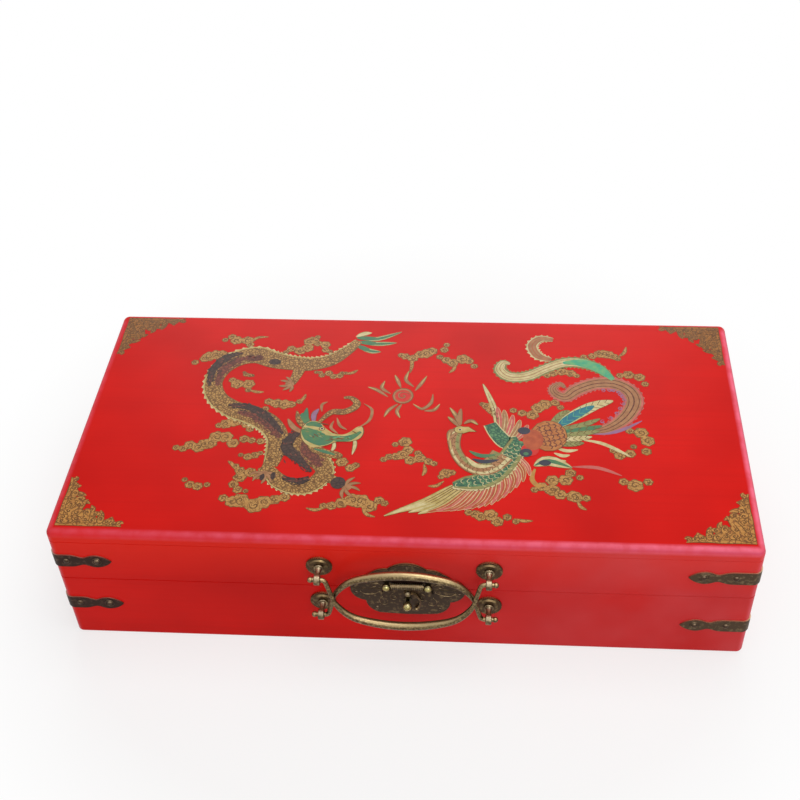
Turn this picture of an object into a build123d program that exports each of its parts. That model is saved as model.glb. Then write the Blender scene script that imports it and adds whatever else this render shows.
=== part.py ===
from math import cos, radians, sin
import os

from build123d import *

os.makedirs("parts", exist_ok=True)

# Lacquered wooden carrying case with a hinged lid. Millimetres, +X right, -Y front, +Z up.
# The origin is the middle of the underside.

# Case
case_length = 450.0
case_depth = 221.0
base_height = 57.0
lid_height = 44.0
wall_thickness = 10.0
floor_thickness = 6.0
top_board_thickness = 9.0
corner_lap = 6.0
floor_lap = 5.0
corner_radius = 4.8
top_edge_radius = 4.2
bottom_edge_radius = 1.5
seam_chamfer = 0.5
board_chamfer = 0.3

# Lining cards inside
lining_thickness = 1.5
lining_setback = 2.0

# Corner straps and their nails
strap_width = 11.0
strap_waist = 6.4
strap_arm = 40.0
strap_root = 12.0
strap_waist_reach = 22.0
strap_leaf_reach = 30.0
strap_leaf_bow = 1.2
front_strap_shift_left = -1.3
front_strap_shift_right = 4.8
strap_thickness = 0.8
strap_near_nail = 10.5
strap_far_nail = 30.5
lid_strap_rise_left = 17.8
lid_strap_rise_right = 19.2
base_strap_drop_left = 24.6
base_strap_drop_right = 28.6
nail_head_diameter = 4.0
nail_head_height = 1.1
nail_shank_diameter = 1.4
nail_length = 5.0

# Lock plates: one cartouche cut in two at the seam
lock_x = 4.0
plate_half_width = 37.0
plate_rise = 25.0
plate_drop = 26.0
plate_thickness = 1.2
plate_gap = 0.4
plate_border = 1.1
plate_field = 0.4
plate_nail_head = 2.6
plate_nail_dome = 0.7
upper_plate_nails = ((0.0, 20.4), (26.5, 5.2), (-26.5, 5.2))
lower_plate_nails = ((33.4, -4.6), (-33.4, -4.6), (20.5, -19.5), (-20.5, -19.5))

# Cartouche outline: key points as shares of its half width and of its rise or drop,
# each with the bow of the arc that ends there, as a share of the half width
crest_share = (0.338, 0.76, 0.038)
shoulder_share = (0.60, 0.62, 0.032)
hollow_share = (0.78, 0.37, 0.009)
tip_share = (1.00, -0.08, 0.079)
notch_share = (0.74, -0.49, 0.071)
heel_share = (0.50, -0.96, 0.067)
foot_share = (0.00, -1.00, 0.004)

# Ball-headed studs on the upper plate and the rod that they carry
stud_spacing = 26.8
stud_height = 5.3
stud_neck_diameter = 3.0
stud_ball_diameter = 5.4
stud_standoff = 4.2
stud_depth = 6.0
rod_diameter = 1.8
rod_standoff = 3.5
rod_overhang = 2.2

# Hasp hung on the rod
hasp_thickness = 1.1
hasp_standoff = 1.6
hasp_barrel_diameter = 3.6
hasp_clearance = 0.1
hasp_side_gap = 0.5
hasp_neck_half_width = 9.0
hasp_drop = 21.3
hasp_slot_width = 6.8
hasp_slot_top = 11.0

# Hasp outline: half width, drop below the rod and bow of the arc that ends there
hasp_neck = (hasp_neck_half_width, 4.0, 0.0)
hasp_shoulder = (13.9, 5.6, -0.46)
hasp_waist = (13.3, 13.35, 2.98)
hasp_prong = (10.3, 18.3, 1.49)
hasp_toe_bow = 0.78

# Staple on the lower plate
staple_height = -8.9
staple_neck_diameter = 2.4
staple_ball_diameter = 5.9
staple_standoff = 8.0
staple_collar_diameter = 5.0
staple_collar_height = 0.9
staple_collar_taper = 0.4
staple_depth = 6.0

# Swivel hook on the hasp
hook_pivot_x = 0.3
hook_pivot_height = -0.2
hook_thickness = 1.3
hook_gap = 0.3
hook_width = 1.4
hook_bulge = (8.0, -8.8)
hook_tail = (5.2, -16.2)
hook_eye_diameter = 4.6
hook_tail_diameter = 2.8
hook_tail_rise = 1.1
pivot_diameter = 2.0
pivot_clearance = 0.1
pivot_ball_diameter = 4.2

# Handle posts and rosettes
handle_x = 2.3
post_spacing = 108.0
upper_post_rise = 20.0
lower_post_drop = 14.6
pivot_standoff = 12.0
rosette_diameter = 16.8
rosette_rim = 1.3
rosette_rim_width = 1.6
rosette_height = 2.2
rosette_slope_angle = 45.0
rosette_notch_count = 32
rosette_notch = 0.55
post_collar_diameter = 6.6
post_collar_height = 1.4
post_collar_bead = 0.4
post_neck_diameter = 3.6
post_neck_hollow = 0.2
post_head_diameter = 7.0
post_head_width = 4.0
post_head_rim = 0.8
post_shank_diameter = 4.0
post_shank_depth = 8.0
eye_diameter = 3.4

# Bail handles, both alike
bail_rise = 38.0
bail_wire = 3.0
bail_grip = 5.6
bail_crown_radius = 90.8
bail_crown_turn = 17.5
bail_shoulder_radius = 26.9
bail_leg_turn = 75.0
bail_bend_radius = 3.0
bail_end_x = 58.3
bail_ball_diameter = 3.8
bail_sections = 15
upper_bail_lean_angle = 7.8
lower_bail_lean_angle = -3.7

# Rear hinges
hinge_spacing = 260.0
hinge_length = 40.0
hinge_leaf_height = 20.0
hinge_leaf_thickness = 1.0
hinge_leaf_radius = 4.0
hinge_barrel_diameter = 4.4
hinge_pin_diameter = 2.4
hinge_pin_clearance = 0.05
hinge_barrel_gap = 0.15
hinge_knuckles = 5
hinge_knuckle_gap = 0.2
hinge_pin_head_diameter = 3.6
hinge_pin_head = 0.9
hinge_screw_head = 4.6
hinge_screw_head_height = 1.1
hinge_screw_shank = 2.2
hinge_screw_length = 7.0
hinge_screw_slot = 0.6
hinge_screw_slot_depth = 0.5
hinge_screw_inset = 7.0
hinge_screw_drop = 8.0
hinge_screw_low = 14.5

# Values worked out from the sizes above
half_length = case_length / 2
half_depth = case_depth / 2
seam = base_height
case_height = base_height + lid_height
upper_post_height = seam + upper_post_rise
lower_post_height = seam - lower_post_drop
rail_top = case_height - top_board_thickness
hinge_standoff = hinge_barrel_gap + hinge_barrel_diameter / 2
bore_diameter = hinge_pin_diameter + 2 * hinge_pin_clearance
touching = 0.01

front = Plane(origin=(0, -half_depth, 0), x_dir=(1, 0, 0), z_dir=(0, -1, 0))
rear = Plane(origin=(0, half_depth, 0), x_dir=(-1, 0, 0), z_dir=(0, 1, 0))
left = Plane(origin=(-half_length, 0, 0), x_dir=(0, -1, 0), z_dir=(-1, 0, 0))
right = Plane(origin=(half_length, 0, 0), x_dir=(0, 1, 0), z_dir=(1, 0, 0))
lock = Plane(origin=(lock_x, -half_depth, seam), x_dir=(1, 0, 0), z_dir=(0, -1, 0))

strap_heights = {
    ("lid", "left"): seam + lid_strap_rise_left,
    ("lid", "right"): seam + lid_strap_rise_right,
    ("base", "left"): seam - base_strap_drop_left,
    ("base", "right"): seam - base_strap_drop_right,
}
post_xs = {"left": handle_x - post_spacing / 2, "right": handle_x + post_spacing / 2}
hinge_xs = {"left": -hinge_spacing / 2, "right": hinge_spacing / 2}


def save(piece, name):
    """Names a finished piece and writes its file."""
    piece.part.label = name
    export_step(piece.part, f"parts/{name}.step")


def ends_of(face):
    """The two upright edges of a face: its sign along the face, and the side of the case."""
    if face is front:
        return ((-1, "left"), (1, "right"))
    if face is rear:
        return ((-1, "right"), (1, "left"))
    return ((-1, "left"), (1, "left")) if face is left else ((-1, "right"), (1, "right"))


def half_span(face):
    """Half the width of a face of the case."""
    return half_length if face in (front, rear) else half_depth


def on_face(face, point):
    """A face's plane, moved to a point on that face."""
    return Plane(origin=face.from_local_coords((*point, 0)), x_dir=face.x_dir, z_dir=face.z_dir)


def strap_shift(face, side):
    """How much further a strap reaches along the front than along the other faces."""
    if face is not front:
        return 0
    return front_strap_shift_left if side == "left" else front_strap_shift_right


def strap_nail_points(face, tier):
    """Strap nails on one face of the lid or base, in the face's own plane."""
    return [
        (end * (half_span(face) - inset - strap_shift(face, side)), strap_heights[tier, side])
        for end, side in ends_of(face)
        for inset in (strap_near_nail, strap_far_nail)
    ]


def lock_points(points):
    """Points of the lock, moved from the lock's plane to the front face's plane."""
    return [(lock_x + x, seam + z) for x, z in points]


def hinge_screw_points(direction):
    """Hinge screws above (+1) or below (-1) the seam, in the rear face's plane."""
    return [
        (x + dx, seam + direction * dz)
        for x in hinge_xs.values()
        for dx, dz in (
            (-(hinge_length / 2 - hinge_screw_inset), hinge_screw_drop),
            (0, hinge_screw_low),
            (hinge_length / 2 - hinge_screw_inset, hinge_screw_drop),
        )
    ]


def drill(face, points, diameter, depth):
    """Cuts round holes of one size into the piece being made, straight in from a face."""
    with BuildSketch(face) as holes:
        with Locations(*points):
            Circle(diameter / 2)
    extrude(holes.sketch, amount=-depth, mode=Mode.SUBTRACT)


def on_outside(edge):
    """Whether an edge lies on the outer skin of the case."""
    middle = edge.center()
    return abs(middle.X) > half_length - corner_radius or abs(middle.Y) > half_depth - corner_radius


def at_case_corner(edge):
    """Whether an upright edge is a corner of the case."""
    middle = edge.center()
    return abs(middle.X) > half_length - touching and abs(middle.Y) > half_depth - touching


def ends_at_lap(edge):
    """Whether an edge is the inner end of a lap, where a short board butts against a long one."""
    return edge.bounding_box().size.Y < touching and abs(edge.center().Y) < half_depth - corner_radius


def build_panel(face, bottom, top, holes):
    """One board of the base or lid. The long boards lap over the ends of the short ones."""
    laps_over = face in (front, rear)
    length = case_length if laps_over else case_depth - 2 * corner_lap
    in_base = bottom == 0
    with BuildPart() as panel:
        with BuildSketch(face) as outline:
            with Locations((0, (bottom + top) / 2)):
                Rectangle(length, top - bottom)
        extrude(outline.sketch, amount=-wall_thickness)
        if laps_over:
            with BuildSketch(face.offset(-corner_lap)) as laps:
                for end in (-1, 1):
                    with Locations((end * (half_length - wall_thickness / 2), (bottom + top) / 2)):
                        Rectangle(wall_thickness, top - bottom)
            extrude(laps.sketch, amount=-(wall_thickness - corner_lap), mode=Mode.SUBTRACT)
        if in_base:
            with BuildSketch(face.offset(-floor_lap)) as rebate:
                with Locations((0, floor_thickness / 2)):
                    Rectangle(length, floor_thickness)
            extrude(rebate.sketch, amount=-(wall_thickness - floor_lap), mode=Mode.SUBTRACT)
        if laps_over:
            fillet(panel.edges().filter_by(Axis.Z).filter_by(at_case_corner), corner_radius)
        low_edges = panel.faces().sort_by(Axis.Z)[0].edges().filter_by(on_outside)
        low_edges = low_edges.filter_by(lambda e: not ends_at_lap(e))
        if in_base:
            fillet(low_edges, bottom_edge_radius)
        else:
            chamfer(low_edges, seam_chamfer)
        high_edges = panel.faces().sort_by(Axis.Z)[-1].edges().filter_by(on_outside)
        high_edges = high_edges.filter_by(lambda e: not ends_at_lap(e))
        chamfer(high_edges, seam_chamfer if in_base else board_chamfer)
        for points, diameter, depth in holes:
            drill(face, points, diameter, depth)
    return panel


# Boards of the base
upper_posts = [(x, upper_post_height) for x in post_xs.values()]
lower_posts = [(x, lower_post_height) for x in post_xs.values()]
stud_points = [(-stud_spacing / 2, stud_height), (stud_spacing / 2, stud_height)]
nail_hole = (nail_shank_diameter, nail_length)
post_hole = (post_shank_diameter, post_shank_depth)
screw_hole = (hinge_screw_shank, hinge_screw_length)

base_holes = {
    "front": [
        (strap_nail_points(front, "base"), *nail_hole),
        (lock_points(lower_plate_nails), *nail_hole),
        (lower_posts, *post_hole),
        (lock_points([(0, staple_height)]), staple_neck_diameter, staple_depth),
    ],
    "rear": [
        (strap_nail_points(rear, "base"), *nail_hole),
        (hinge_screw_points(-1), *screw_hole),
    ],
    "left": [(strap_nail_points(left, "base"), *nail_hole)],
    "right": [(strap_nail_points(right, "base"), *nail_hole)],
}
lid_holes = {
    "front": [
        (strap_nail_points(front, "lid"), *nail_hole),
        (lock_points(upper_plate_nails), *nail_hole),
        (upper_posts, *post_hole),
        (lock_points(stud_points), stud_neck_diameter, stud_depth),
    ],
    "rear": [
        (strap_nail_points(rear, "lid"), *nail_hole),
        (hinge_screw_points(1), *screw_hole),
    ],
    "left": [(strap_nail_points(left, "lid"), *nail_hole)],
    "right": [(strap_nail_points(right, "lid"), *nail_hole)],
}
for side, face in (("front", front), ("rear", rear), ("left", left), ("right", right)):
    save(build_panel(face, 0, base_height, base_holes[side]), f"base_{side}_panel")
    save(build_panel(face, seam, rail_top, lid_holes[side]), f"lid_{side}_rail")

# Floor board, let into the rebate of the four panels
with BuildPart() as base_floor_board:
    with BuildSketch(Plane.XY):
        Rectangle(case_length - 2 * floor_lap, case_depth - 2 * floor_lap)
    extrude(amount=floor_thickness)
save(base_floor_board, "base_floor_board")

# Top board, full size over the rails, with softened edges
with BuildPart() as lid_top_board:
    with BuildSketch(Plane.XY.offset(rail_top)):
        RectangleRounded(case_length, case_depth, corner_radius)
    extrude(amount=top_board_thickness)
    fillet(lid_top_board.faces().sort_by(Axis.Z)[-1].edges(), top_edge_radius)
    chamfer(lid_top_board.faces().sort_by(Axis.Z)[0].edges(), board_chamfer)
save(lid_top_board, "lid_top_board")

# Lining cards: a flat card and a band round the walls in each half
inner_length = case_length - 2 * wall_thickness
inner_depth = case_depth - 2 * wall_thickness


def build_flat_lining(bottom):
    """A card that covers the whole floor or the whole underside of the top board."""
    with BuildPart() as card:
        with BuildSketch(Plane.XY.offset(bottom)):
            Rectangle(inner_length, inner_depth)
        extrude(amount=lining_thickness)
    return card


def build_wall_lining(bottom, top):
    """One band of card folded round the four walls."""
    with BuildPart() as band:
        with BuildSketch(Plane.XY.offset(bottom)):
            Rectangle(inner_length, inner_depth)
            Rectangle(inner_length - 2 * lining_thickness, inner_depth - 2 * lining_thickness,
                      mode=Mode.SUBTRACT)
        extrude(amount=top - bottom)
    return band


save(build_flat_lining(floor_thickness), "base_floor_lining")
save(build_flat_lining(rail_top - lining_thickness), "lid_top_lining")
save(build_wall_lining(floor_thickness + lining_thickness, seam - lining_setback), "base_wall_lining")
save(build_wall_lining(seam + lining_setback, rail_top - lining_thickness), "lid_wall_lining")


# Corner straps
def strap_outline(face, end, height):
    """The strap's shape on one face: square at the corner, a waist, then a pointed leaf."""
    corner = half_span(face) + strap_thickness
    start = half_span(face) - strap_shift(face, dict(ends_of(face))[end])
    with BuildSketch(face) as outline:
        with BuildLine() as edge:
            def at(reach, rise):
                return (end * (start - reach), height + rise)
            half, waist = strap_width / 2, strap_waist / 2
            for sign in (-1, 1):
                root = at(strap_root, sign * half)
                neck = at(strap_waist_reach, sign * waist)
                leaf = at(strap_leaf_reach, sign * half)
                tip = at(strap_arm, 0)
                Line((end * corner, height + sign * half), root)
                Spline(root, neck, leaf, tangents=((-end, 0), (-end, 0)))
                SagittaArc(leaf, tip, -end * sign * strap_leaf_bow)
            Line((end * corner, height - half), (end * corner, height + half))
        make_face()
    return outline.sketch


def build_strap(long_face, side_face, tier, side):
    """A band bent round one upright corner, trimmed to the same leaf on both faces."""
    height = strap_heights[tier, side]
    long_end = next(end for end, where in ends_of(long_face) if where == side)
    short_end = 1 if (side_face is left) == (long_face is front) else -1
    reach = strap_arm + 2 * corner_radius
    x_side = -1 if side == "left" else 1
    y_side = -1 if long_face is front else 1
    with BuildPart() as strap:
        with BuildSketch(Plane.XY.offset(height - strap_width / 2)) as band:
            outer = strap_thickness
            RectangleRounded(case_length + 2 * outer, case_depth + 2 * outer, corner_radius + outer)
            RectangleRounded(case_length, case_depth, corner_radius, mode=Mode.SUBTRACT)
            with Locations((x_side * half_length, y_side * half_depth)):
                Rectangle(2 * reach, 2 * reach, mode=Mode.INTERSECT)
        extrude(band.sketch, amount=strap_width)
        for face, end in ((long_face, long_end), (side_face, short_end)):
            depth = reach + strap_thickness
            extrude(strap_outline(face, end, height).moved(Location(face.z_dir * strap_thickness)),
                    amount=-depth, mode=Mode.INTERSECT)
            points = [p for p in strap_nail_points(face, tier) if p[0] * end > 0]
            with BuildSketch(face) as holes:
                with Locations(*points):
                    Circle(nail_shank_diameter / 2)
            extrude(holes.sketch, amount=strap_thickness, mode=Mode.SUBTRACT)
    return strap


for tier in ("base", "lid"):
    for long_name, long_face in (("front", front), ("rear", rear)):
        for side, side_face in (("left", left), ("right", right)):
            strap = build_strap(long_face, side_face, tier, side)
            save(strap, f"{tier}_strap_{long_name}_{side}")


def nail_profile(head_diameter, head_height, shank_diameter, length, seat):
    """Half section of a domed nail: x is the radius, y runs out of the face."""
    head, shank = head_diameter / 2, shank_diameter / 2
    dome = (head ** 2 + head_height ** 2) / (2 * head_height)
    flank = (head / 2, seat + head_height - dome + (dome ** 2 - head ** 2 / 4) ** 0.5)
    with BuildSketch(Plane.XZ) as profile:
        with BuildLine():
            Polyline((0, -length), (shank, -length), (shank, seat), (head, seat))
            ThreePointArc((head, seat), flank, (0, seat + head_height))
            Line((0, seat + head_height), (0, -length))
        make_face()
    return profile.sketch


def build_turned(profile, places):
    """Copies of a turned piece, standing out of their faces: places are (face, point)."""
    with BuildPart(mode=Mode.PRIVATE) as one:
        revolve(profile, Axis.Z)
    with BuildPart() as copies:
        with Locations(*[on_face(face, point).location for face, point in places]):
            add(one.part)
    return copies


for tier in ("base", "lid"):
    places = [(face, point) for face in (front, rear, left, right)
              for point in strap_nail_points(face, tier)]
    strap_nail = nail_profile(
        nail_head_diameter, nail_head_height, nail_shank_diameter, nail_length, strap_thickness)
    save(build_turned(strap_nail, places), f"{tier}_strap_nails")


# Lock plates
def trace_half(points, bows, sign):
    """Arcs through points on one side of the lock, each bowed outwards by its own height."""
    mirrored = [(sign * x, z) for x, z in points]
    for start, end, bow in zip(mirrored, mirrored[1:], bows):
        if bow:
            SagittaArc(start, end, sign * bow)
        else:
            Line(start, end)


def plate_outline(standoff, inset):
    """The whole cartouche, seen square on: crest, shoulders, side lobes and foot."""
    width, rise, drop = plate_half_width - inset, plate_rise - inset, plate_drop - inset
    shares = (crest_share, shoulder_share, hollow_share, tip_share, notch_share, heel_share, foot_share)
    points = [(0, rise)] + [(x * width, z * (rise if z > 0 else drop)) for x, z, _ in shares]
    bows = [bow * plate_half_width for *_, bow in shares]
    with BuildSketch(lock.offset(standoff)) as outline:
        with BuildLine():
            for sign in (-1, 1):
                trace_half(points, bows, sign)
        make_face()
    return outline.sketch


def build_lock_plate(upper):
    """The part of the cartouche above or below the seam, with a sunk border round it."""
    sign = 1 if upper else -1
    reach = 2 * plate_half_width
    outline = plate_outline(0, 0)
    field = plate_outline(plate_thickness - plate_field, plate_border)
    with BuildPart() as plate:
        extrude(outline, amount=plate_thickness - plate_field)
        extrude(field, amount=plate_field)
        with BuildSketch(lock) as keep:
            with Locations((0, sign * (plate_gap / 2 + reach / 2))):
                Rectangle(2 * reach, reach)
        extrude(keep.sketch, amount=plate_thickness, mode=Mode.INTERSECT)
        nails = upper_plate_nails if upper else lower_plate_nails
        holes = [(nails, nail_shank_diameter)]
        holes.append((stud_points, stud_neck_diameter) if upper else
                     ([(0, staple_height)], staple_neck_diameter))
        for points, diameter in holes:
            drill(lock.offset(plate_thickness), points, diameter, plate_thickness)
    return plate


save(build_lock_plate(True), "upper_lock_plate")
save(build_lock_plate(False), "lower_lock_plate")

plate_nail = nail_profile(
    plate_nail_head, plate_nail_dome, nail_shank_diameter, nail_length, plate_thickness)
save(build_turned(plate_nail, [(lock, p) for p in upper_plate_nails]), "upper_plate_nails")
save(build_turned(plate_nail, [(lock, p) for p in lower_plate_nails]), "lower_plate_nails")

# Studs: a neck through the plate and a ball that the rod passes through
for side, point in zip(("left", "right"), stud_points):
    with BuildPart() as stud:
        with BuildSketch(lock.offset(-stud_depth)):
            with Locations(point):
                Circle(stud_neck_diameter / 2)
        extrude(amount=stud_depth + stud_standoff)
        with Locations(lock.offset(stud_standoff).location * Location((*point, 0))):
            Sphere(stud_ball_diameter / 2)
        with BuildSketch(Plane.YZ.offset(lock_x + point[0])):
            with Locations((-half_depth - rod_standoff, seam + stud_height)):
                Circle(rod_diameter / 2)
        extrude(amount=stud_ball_diameter, both=True, mode=Mode.SUBTRACT)
    save(stud, f"hasp_stud_{side}")

# Rod from the outside of one ball to the outside of the other
rod_length = stud_spacing + 2 * rod_overhang
rod_centre = (-half_depth - rod_standoff, seam + stud_height)
with BuildPart() as hasp_hinge_rod:
    with BuildSketch(Plane.YZ.offset(lock_x - rod_length / 2)):
        with Locations(rod_centre):
            Circle(rod_diameter / 2)
    extrude(amount=rod_length)
save(hasp_hinge_rod, "hasp_hinge_rod")


# Hasp: a barrel round the rod and a shaped plate, forked to straddle the staple
def hasp_outline():
    """The hasp's plate in the lock's plane, from the barrel to the two prongs."""
    slot_half = hasp_slot_width / 2
    slot_spring = stud_height - hasp_slot_top - slot_half
    toe = (slot_half, hasp_drop, hasp_toe_bow)
    turns = (hasp_neck, hasp_shoulder, hasp_waist, hasp_prong, toe)
    points = [(0, stud_height), (hasp_neck_half_width, stud_height)]
    points += [(x, stud_height - drop) for x, drop, _ in turns] + [(slot_half, slot_spring)]
    bows = [0] + [bow for *_, bow in turns] + [0]
    with BuildSketch(lock.offset(hasp_standoff)) as outline:
        with BuildLine():
            for sign in (-1, 1):
                trace_half(points, bows, sign)
            SagittaArc((-slot_half, slot_spring), (slot_half, slot_spring), slot_half)
        make_face()
    return outline.sketch


barrel_length = stud_spacing - stud_ball_diameter - 2 * hasp_side_gap
with BuildPart() as hasp:
    extrude(hasp_outline(), amount=hasp_thickness)
    with BuildSketch(Plane.YZ.offset(lock_x - barrel_length / 2)) as barrel:
        with Locations(rod_centre):
            Circle(hasp_barrel_diameter / 2)
    extrude(barrel.sketch, amount=barrel_length)
    with BuildSketch(Plane.YZ.offset(lock_x - barrel_length / 2)) as bore:
        with Locations(rod_centre):
            Circle(rod_diameter / 2 + hasp_clearance)
    extrude(bore.sketch, amount=barrel_length, mode=Mode.SUBTRACT)
    drill(lock.offset(hasp_standoff + hasp_thickness), [(hook_pivot_x, hook_pivot_height)],
          pivot_diameter, hasp_thickness)
save(hasp, "hasp")

# Pivot: a rivet through the hasp with a ball head in front of the hook
hook_back = hasp_standoff + hasp_thickness + hook_gap
hook_front = hook_back + hook_thickness
pivot_point = (hook_pivot_x, hook_pivot_height)
pivot_profile = nail_profile(
    pivot_ball_diameter, pivot_ball_diameter / 2, pivot_diameter, -hasp_standoff, hook_front + hook_gap)
save(build_turned(pivot_profile, [(lock, pivot_point)]), "hook_pivot")

# Swivel hook: a ring on the pivot, a bowed arm and a ball at its tail
with BuildPart() as swivel_hook:
    with BuildSketch(lock.offset(hook_back)) as ring:
        with Locations(pivot_point):
            Circle(hook_eye_diameter / 2)
    extrude(ring.sketch, amount=hook_thickness)
    bulge = (pivot_point[0] + hook_bulge[0], pivot_point[1] + hook_bulge[1])
    tail = (pivot_point[0] + hook_tail[0], pivot_point[1] + hook_tail[1])
    with BuildSketch(lock.offset(hook_back)) as arm:
        with BuildLine() as bow:
            ThreePointArc(pivot_point, bulge, tail)
        trace(bow.line, hook_width)
    extrude(arm.sketch, amount=hook_thickness)
    with Locations(lock.offset(hook_back + hook_tail_rise).location * Location((*tail, 0))):
        Sphere(hook_tail_diameter / 2)
    split(bisect_by=lock.offset(hook_back), keep=Keep.TOP)
    drill(lock.offset(hook_front), [pivot_point], pivot_diameter + 2 * pivot_clearance, hook_thickness)
save(swivel_hook, "swivel_hook")

# Staple: a ball-headed pin with a coned collar on the lower plate
staple_neck, staple_ball = staple_neck_diameter / 2, staple_ball_diameter / 2
collar_foot, collar_top = staple_collar_diameter / 2, plate_thickness + staple_collar_height
ball_root = staple_standoff - (staple_ball ** 2 - staple_neck ** 2) ** 0.5
with BuildSketch(Plane.XZ) as staple_profile:
    with BuildLine():
        Polyline((0, -staple_depth), (staple_neck, -staple_depth), (staple_neck, plate_thickness),
                 (collar_foot, plate_thickness), (collar_foot - staple_collar_taper, collar_top),
                 (staple_neck, collar_top), (staple_neck, ball_root))
        ThreePointArc((staple_neck, ball_root), (staple_ball, staple_standoff),
                      (0, staple_standoff + staple_ball))
        Line((0, staple_standoff + staple_ball), (0, -staple_depth))
    make_face()
save(build_turned(staple_profile.sketch, [(lock, (0, staple_height))]), "staple")


# Handle rosettes and posts
def build_rosette(point):
    """A disc with a milled rim, a raised bead and a hole for the post's shank."""
    radius = rosette_diameter / 2
    spot = on_face(front, point)
    with BuildPart() as rosette:
        with BuildSketch(spot) as rim:
            Circle(radius)
            with PolarLocations(radius, rosette_notch_count):
                RegularPolygon(rosette_notch, 4, rotation=45, mode=Mode.SUBTRACT)
        extrude(rim.sketch, amount=rosette_rim)
        with BuildSketch(spot.offset(rosette_rim)) as dish:
            Circle(radius - rosette_rim_width)
        extrude(dish.sketch, amount=rosette_height - rosette_rim, taper=rosette_slope_angle)
        with BuildSketch(spot) as hole:
            Circle(post_shank_diameter / 2)
        extrude(hole.sketch, amount=rosette_height, mode=Mode.SUBTRACT)
    return rosette


def build_post(point):
    """A turned post: shank in the wood, collar on the rosette, neck, and a lug with an eye."""
    shank, neck = post_shank_diameter / 2, post_neck_diameter / 2
    collar, head = post_collar_diameter / 2, post_head_diameter / 2
    collar_top = rosette_height + post_collar_height
    head_root = pivot_standoff - (head ** 2 - neck ** 2) ** 0.5
    flat, flare = collar - post_collar_bead, neck + post_collar_bead
    lug_side = Plane.YZ.offset(-post_head_width / 2)
    with BuildSketch(Plane.XZ) as profile:
        with BuildLine():
            Polyline((0, -post_shank_depth), (shank, -post_shank_depth), (shank, rosette_height),
                     (flat, rosette_height))
            ThreePointArc((flat, rosette_height), (collar, (rosette_height + collar_top) / 2),
                          (flat, collar_top))
            Line((flat, collar_top), (flare, collar_top))
            ThreePointArc((flare, collar_top),
                          (neck - post_neck_hollow, (collar_top + head_root) / 2), (neck, head_root))
            Polyline((neck, head_root), (neck, pivot_standoff), (0, pivot_standoff),
                     (0, -post_shank_depth))
        make_face()
    with BuildPart(mode=Mode.PRIVATE) as blank:
        revolve(profile.sketch, Axis.Z)
        with BuildSketch(lug_side) as lug:
            with Locations((0, pivot_standoff)):
                Circle(head)
        extrude(lug.sketch, amount=post_head_width)
        rims = blank.edges().filter_by(GeomType.CIRCLE).filter_by(lambda e: abs(e.radius - head) < touching)
        fillet(rims, post_head_rim)
        with BuildSketch(lug_side) as eye:
            with Locations((0, pivot_standoff)):
                Circle(eye_diameter / 2)
        extrude(eye.sketch, amount=post_head_width, mode=Mode.SUBTRACT)
    with BuildPart() as post:
        with Locations(on_face(front, point).location):
            add(blank.part)
    return post


for tier, height in (("upper", upper_post_height), ("lower", lower_post_height)):
    for side, x in post_xs.items():
        save(build_rosette((x, height)), f"{tier}_rosette_{side}")
        save(build_post((x, height)), f"{tier}_post_{side}")


# Bail handles
def bail_points():
    """Key points of half a bail, in its own plane with y away from the pivot line."""
    crown, turn = bail_crown_radius, radians(bail_crown_turn)
    leg = radians(bail_leg_turn)
    crown_centre = (0, bail_rise - crown)
    join = (crown * sin(turn), crown_centre[1] + crown * cos(turn))
    shoulder_centre = (join[0] - bail_shoulder_radius * sin(turn),
                       join[1] - bail_shoulder_radius * cos(turn))
    leg_top = (shoulder_centre[0] + bail_shoulder_radius * sin(leg),
               shoulder_centre[1] + bail_shoulder_radius * cos(leg))
    bend_rise = bail_bend_radius * (1 - cos(leg))
    leg_length = (leg_top[1] - bend_rise) / sin(leg)
    leg_foot = (leg_top[0] + leg_length * cos(leg), bend_rise)
    pin_start = (leg_foot[0] + bail_bend_radius * sin(leg), 0)
    return crown_centre, shoulder_centre, leg_top, leg_foot, pin_start


def bail_stations():
    """Centre, heading and wire radius at even turns over the shoulders and crown."""
    crown_centre, shoulder_centre, *_ = bail_points()
    crown_share = bail_crown_radius * bail_crown_turn
    shoulder_share = bail_shoulder_radius * (bail_leg_turn - bail_crown_turn)
    reach = crown_share + shoulder_share
    step = 2 * reach / (bail_sections - 1)
    for index in range(bail_sections):
        travel = index * step - reach
        side = 1 if travel >= 0 else -1
        if abs(travel) <= crown_share:
            centre, radius = crown_centre, bail_crown_radius
            turn = abs(travel) / bail_crown_radius
        else:
            centre, radius = shoulder_centre, bail_shoulder_radius
            turn = bail_crown_turn + (abs(travel) - crown_share) / bail_shoulder_radius
        angle = radians(turn)
        spot = (side * (centre[0] + radius * sin(angle)), centre[1] + radius * cos(angle))
        heading = (cos(angle), -side * sin(angle))
        taper = (travel / reach) ** 2
        yield spot, heading, (bail_grip + (bail_wire - bail_grip) * taper) / 2


def bail_end_profile(plane, side, start):
    """Half section of the straight pin and the ball at one end of a bail."""
    wire, ball = bail_wire / 2, bail_ball_diameter / 2
    neck = bail_end_x - (ball ** 2 - wire ** 2) ** 0.5
    with BuildSketch(plane) as profile:
        with BuildLine():
            Polyline((side * start, 0), (side * start, wire), (side * neck, wire))
            ThreePointArc((side * neck, wire), (side * bail_end_x, ball), (side * (bail_end_x + ball), 0))
            Line((side * (bail_end_x + ball), 0), (side * start, 0))
        make_face()
    return profile.sketch


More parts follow.
